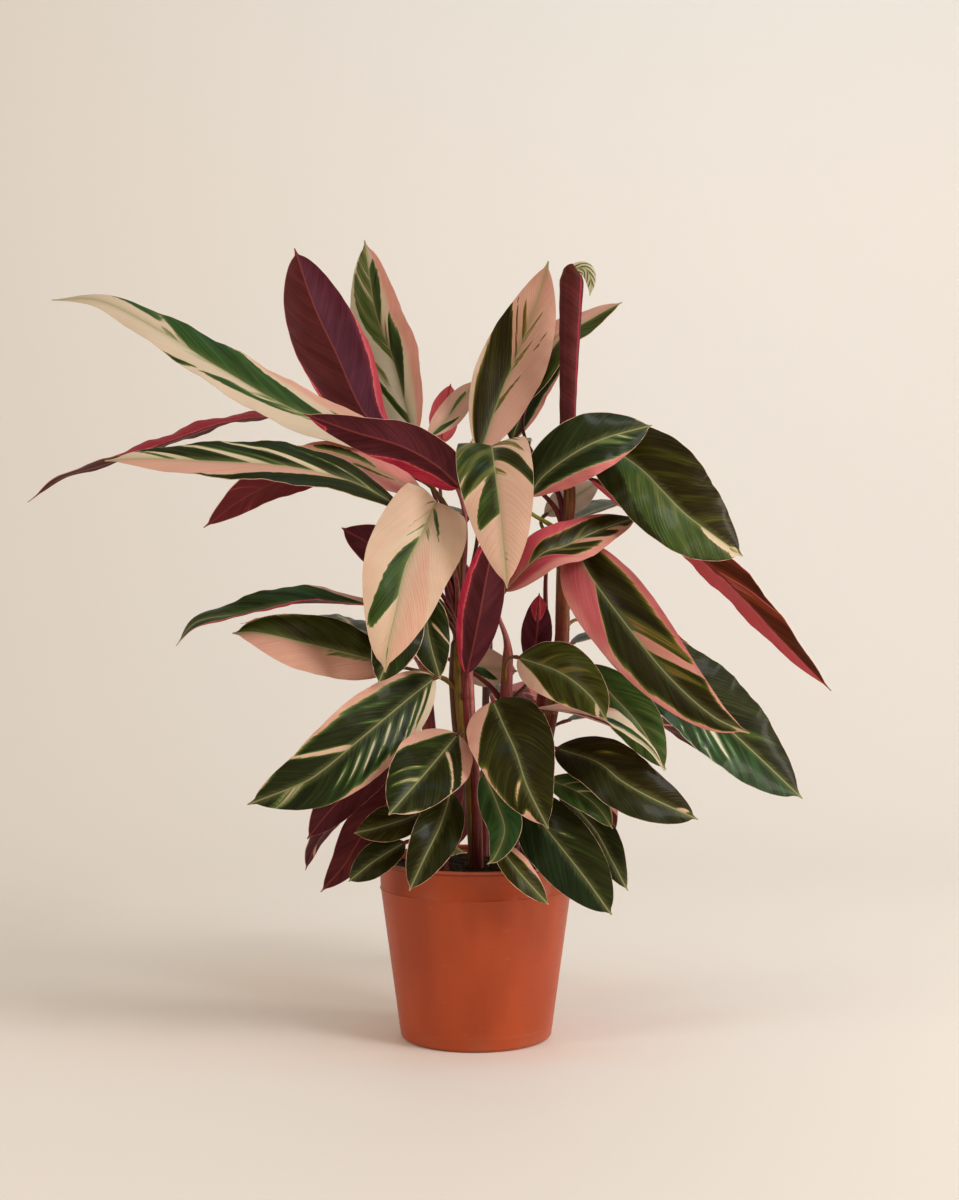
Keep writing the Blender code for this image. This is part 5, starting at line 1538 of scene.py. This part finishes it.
class STROMANTHE_OT_back_shoots(bpy.types.Operator):
    """Adds the leafy shoots behind the pot's centre"""

    bl_idname = "stromanthe.back_shoots"
    bl_label = "Back shoots"

    def execute(self, context):
        rng = random.Random(23)
        materials = leaf_materials(context)
        skin = material("Stalk", stalk_skin)
        for name, numbers in BACK_SHOOTS.items():
            places, radii = shoot_cane(*numbers)
            meshes = cane_meshes(places, radii, (PURPLE, RED, BROWN), skin)
            for entry in BACK_LEAVES[name]:
                heading, reach, height, start_rise, droop, width = entry
                join_height = min(places[-1].z - BELOW_TOP * MM, (height - BACK_RISE) * MM)
                root = between(places, max(join_height, (SOIL_TOP + ABOVE_SOIL) * MM))
                start = root + level_way(math.radians(heading)) * BACK_START * MM
                start.z = height * MM
                arch = arched_places(start, heading, reach, start_rise, droop)
                path, length = smooth_path(arch, BACK_ROWS)
                tangents = directions(path)
                level = UP.cross(tangents[0]).normalized()
                faces = carried_faces(tangents, 0, tangents[0].cross(level).normalized())
                form = {"width": width, **BACK_FORM}
                meshes.append(blade_mesh(path, length, faces, form, grown_look(rng),
                                         rng.uniform(80, 200), materials))
                way = tangents[0]
                meshes.append(stalk_mesh(places, root, start + way * BACK_OVERLAP * MM, way,
                                         rng.choice(STALK_MIX), skin))
            stand_for(joined("foliage_" + name, meshes), name)
        return {"FINISHED"}


class STROMANTHE_OT_stage(bpy.types.Operator):
    """Adds the paper sweep, the soft lights and the camera"""

    bl_idname = "stromanthe.stage"
    bl_label = "Stage"

    def execute(self, context):
        studio = context.scene.stromanthe_studio
        bm = bmesh.new()
        bmesh.ops.create_grid(bm, x_segments=1, y_segments=60, size=1)
        arc_length = PAPER_BEND * math.pi / 2
        for vert in bm.verts:
            run = (vert.co.y + 1) / 2 * (PAPER_FLOOR + arc_length + PAPER_WALL)
            if run < PAPER_FLOOR:
                y, z = run, 0
            elif run < PAPER_FLOOR + arc_length:
                angle = (run - PAPER_FLOOR) / PAPER_BEND
                y = PAPER_FLOOR + PAPER_BEND * math.sin(angle)
                z = PAPER_BEND * (1 - math.cos(angle))
            else:
                y, z = PAPER_FLOOR + PAPER_BEND, PAPER_BEND + run - PAPER_FLOOR - arc_length
            vert.co = Vector((vert.co.x * PAPER_HALF_WIDTH, y - PAPER_FRONT, z - PAPER_DROP))
        for face in bm.faces:
            face.smooth = True
        paper = add_piece("paper_sweep", mesh_of(bm))
        paper.data.materials.append(material("Backdrop paper", backdrop_paper, studio))

        for name, (place, target, size, colour) in LIGHTS.items():
            self.add_light(name, place, target, size, getattr(studio, name.lower() + "_power"), colour)
        world = bpy.data.worlds.new("Studio air")
        world.use_nodes = True
        background = world.node_tree.nodes["Background"]
        background.inputs["Color"].default_value = AIR_COLOUR
        background.inputs["Strength"].default_value = AIR_STRENGTH
        context.scene.world = world
        context.scene.view_settings.view_transform = "Standard"

        data = bpy.data.cameras.new("Camera")
        data.lens = studio.lens
        data.sensor_width = SENSOR
        camera = bpy.data.objects.new("Camera", data)
        camera.location = (EYE.x * MM, -studio.distance, EYE.z * MM)
        camera.rotation_euler = (math.pi / 2, 0, 0)
        context.scene.collection.objects.link(camera)
        context.scene.camera = camera
        return {"FINISHED"}

    def add_light(self, name, place, target, size, power, colour):
        data = bpy.data.lights.new(name, "AREA")
        data.shape = "DISK"
        data.size = size
        data.energy = power
        data.color = colour
        light = bpy.data.objects.new(name, data)
        light.location = place
        light.rotation_euler = (Vector(target) - Vector(place)).to_track_quat("-Z", "Y").to_euler()
        bpy.context.scene.collection.objects.link(light)


class VIEW3D_PT_stromanthe(bpy.types.Panel):
    """Lists the pieces and their settings"""

    bl_label = "Potted Stromanthe"
    bl_space_type = "VIEW_3D"
    bl_region_type = "UI"
    bl_category = "Stromanthe"

    def draw(self, context):
        layout = self.layout
        for operator in OPERATORS:
            layout.operator(operator.bl_idname)
        for group, pointer in SETTINGS:
            box = layout.box()
            for name in group.__annotations__:
                box.prop(getattr(context.scene, pointer), name)


SETTINGS = (
    (StromantheLeafSettings, "stromanthe_leaves"),
    (StromanthePotSettings, "stromanthe_pot"),
    (StromantheStudioSettings, "stromanthe_studio"),
)
OPERATORS = (
    STROMANTHE_OT_stage,
    STROMANTHE_OT_pot,
    STROMANTHE_OT_soil,
    STROMANTHE_OT_stalks,
    STROMANTHE_OT_leaves,
    STROMANTHE_OT_new_leaf,
    STROMANTHE_OT_dry_leaf,
    STROMANTHE_OT_back_shoots,
)


def register():
    for group, pointer in SETTINGS:
        bpy.utils.register_class(group)
        setattr(bpy.types.Scene, pointer, PointerProperty(type=group))
    for item in (*OPERATORS, VIEW3D_PT_stromanthe):
        bpy.utils.register_class(item)


def unregister():
    for item in (VIEW3D_PT_stromanthe, *reversed(OPERATORS)):
        bpy.utils.unregister_class(item)
    for group, pointer in reversed(SETTINGS):
        delattr(bpy.types.Scene, pointer)
        bpy.utils.unregister_class(group)


def main():
    register()
    for operator in OPERATORS:
        group, name = operator.bl_idname.split(".")
        getattr(getattr(bpy.ops, group), name)()


if __name__ == "__main__":
    main()
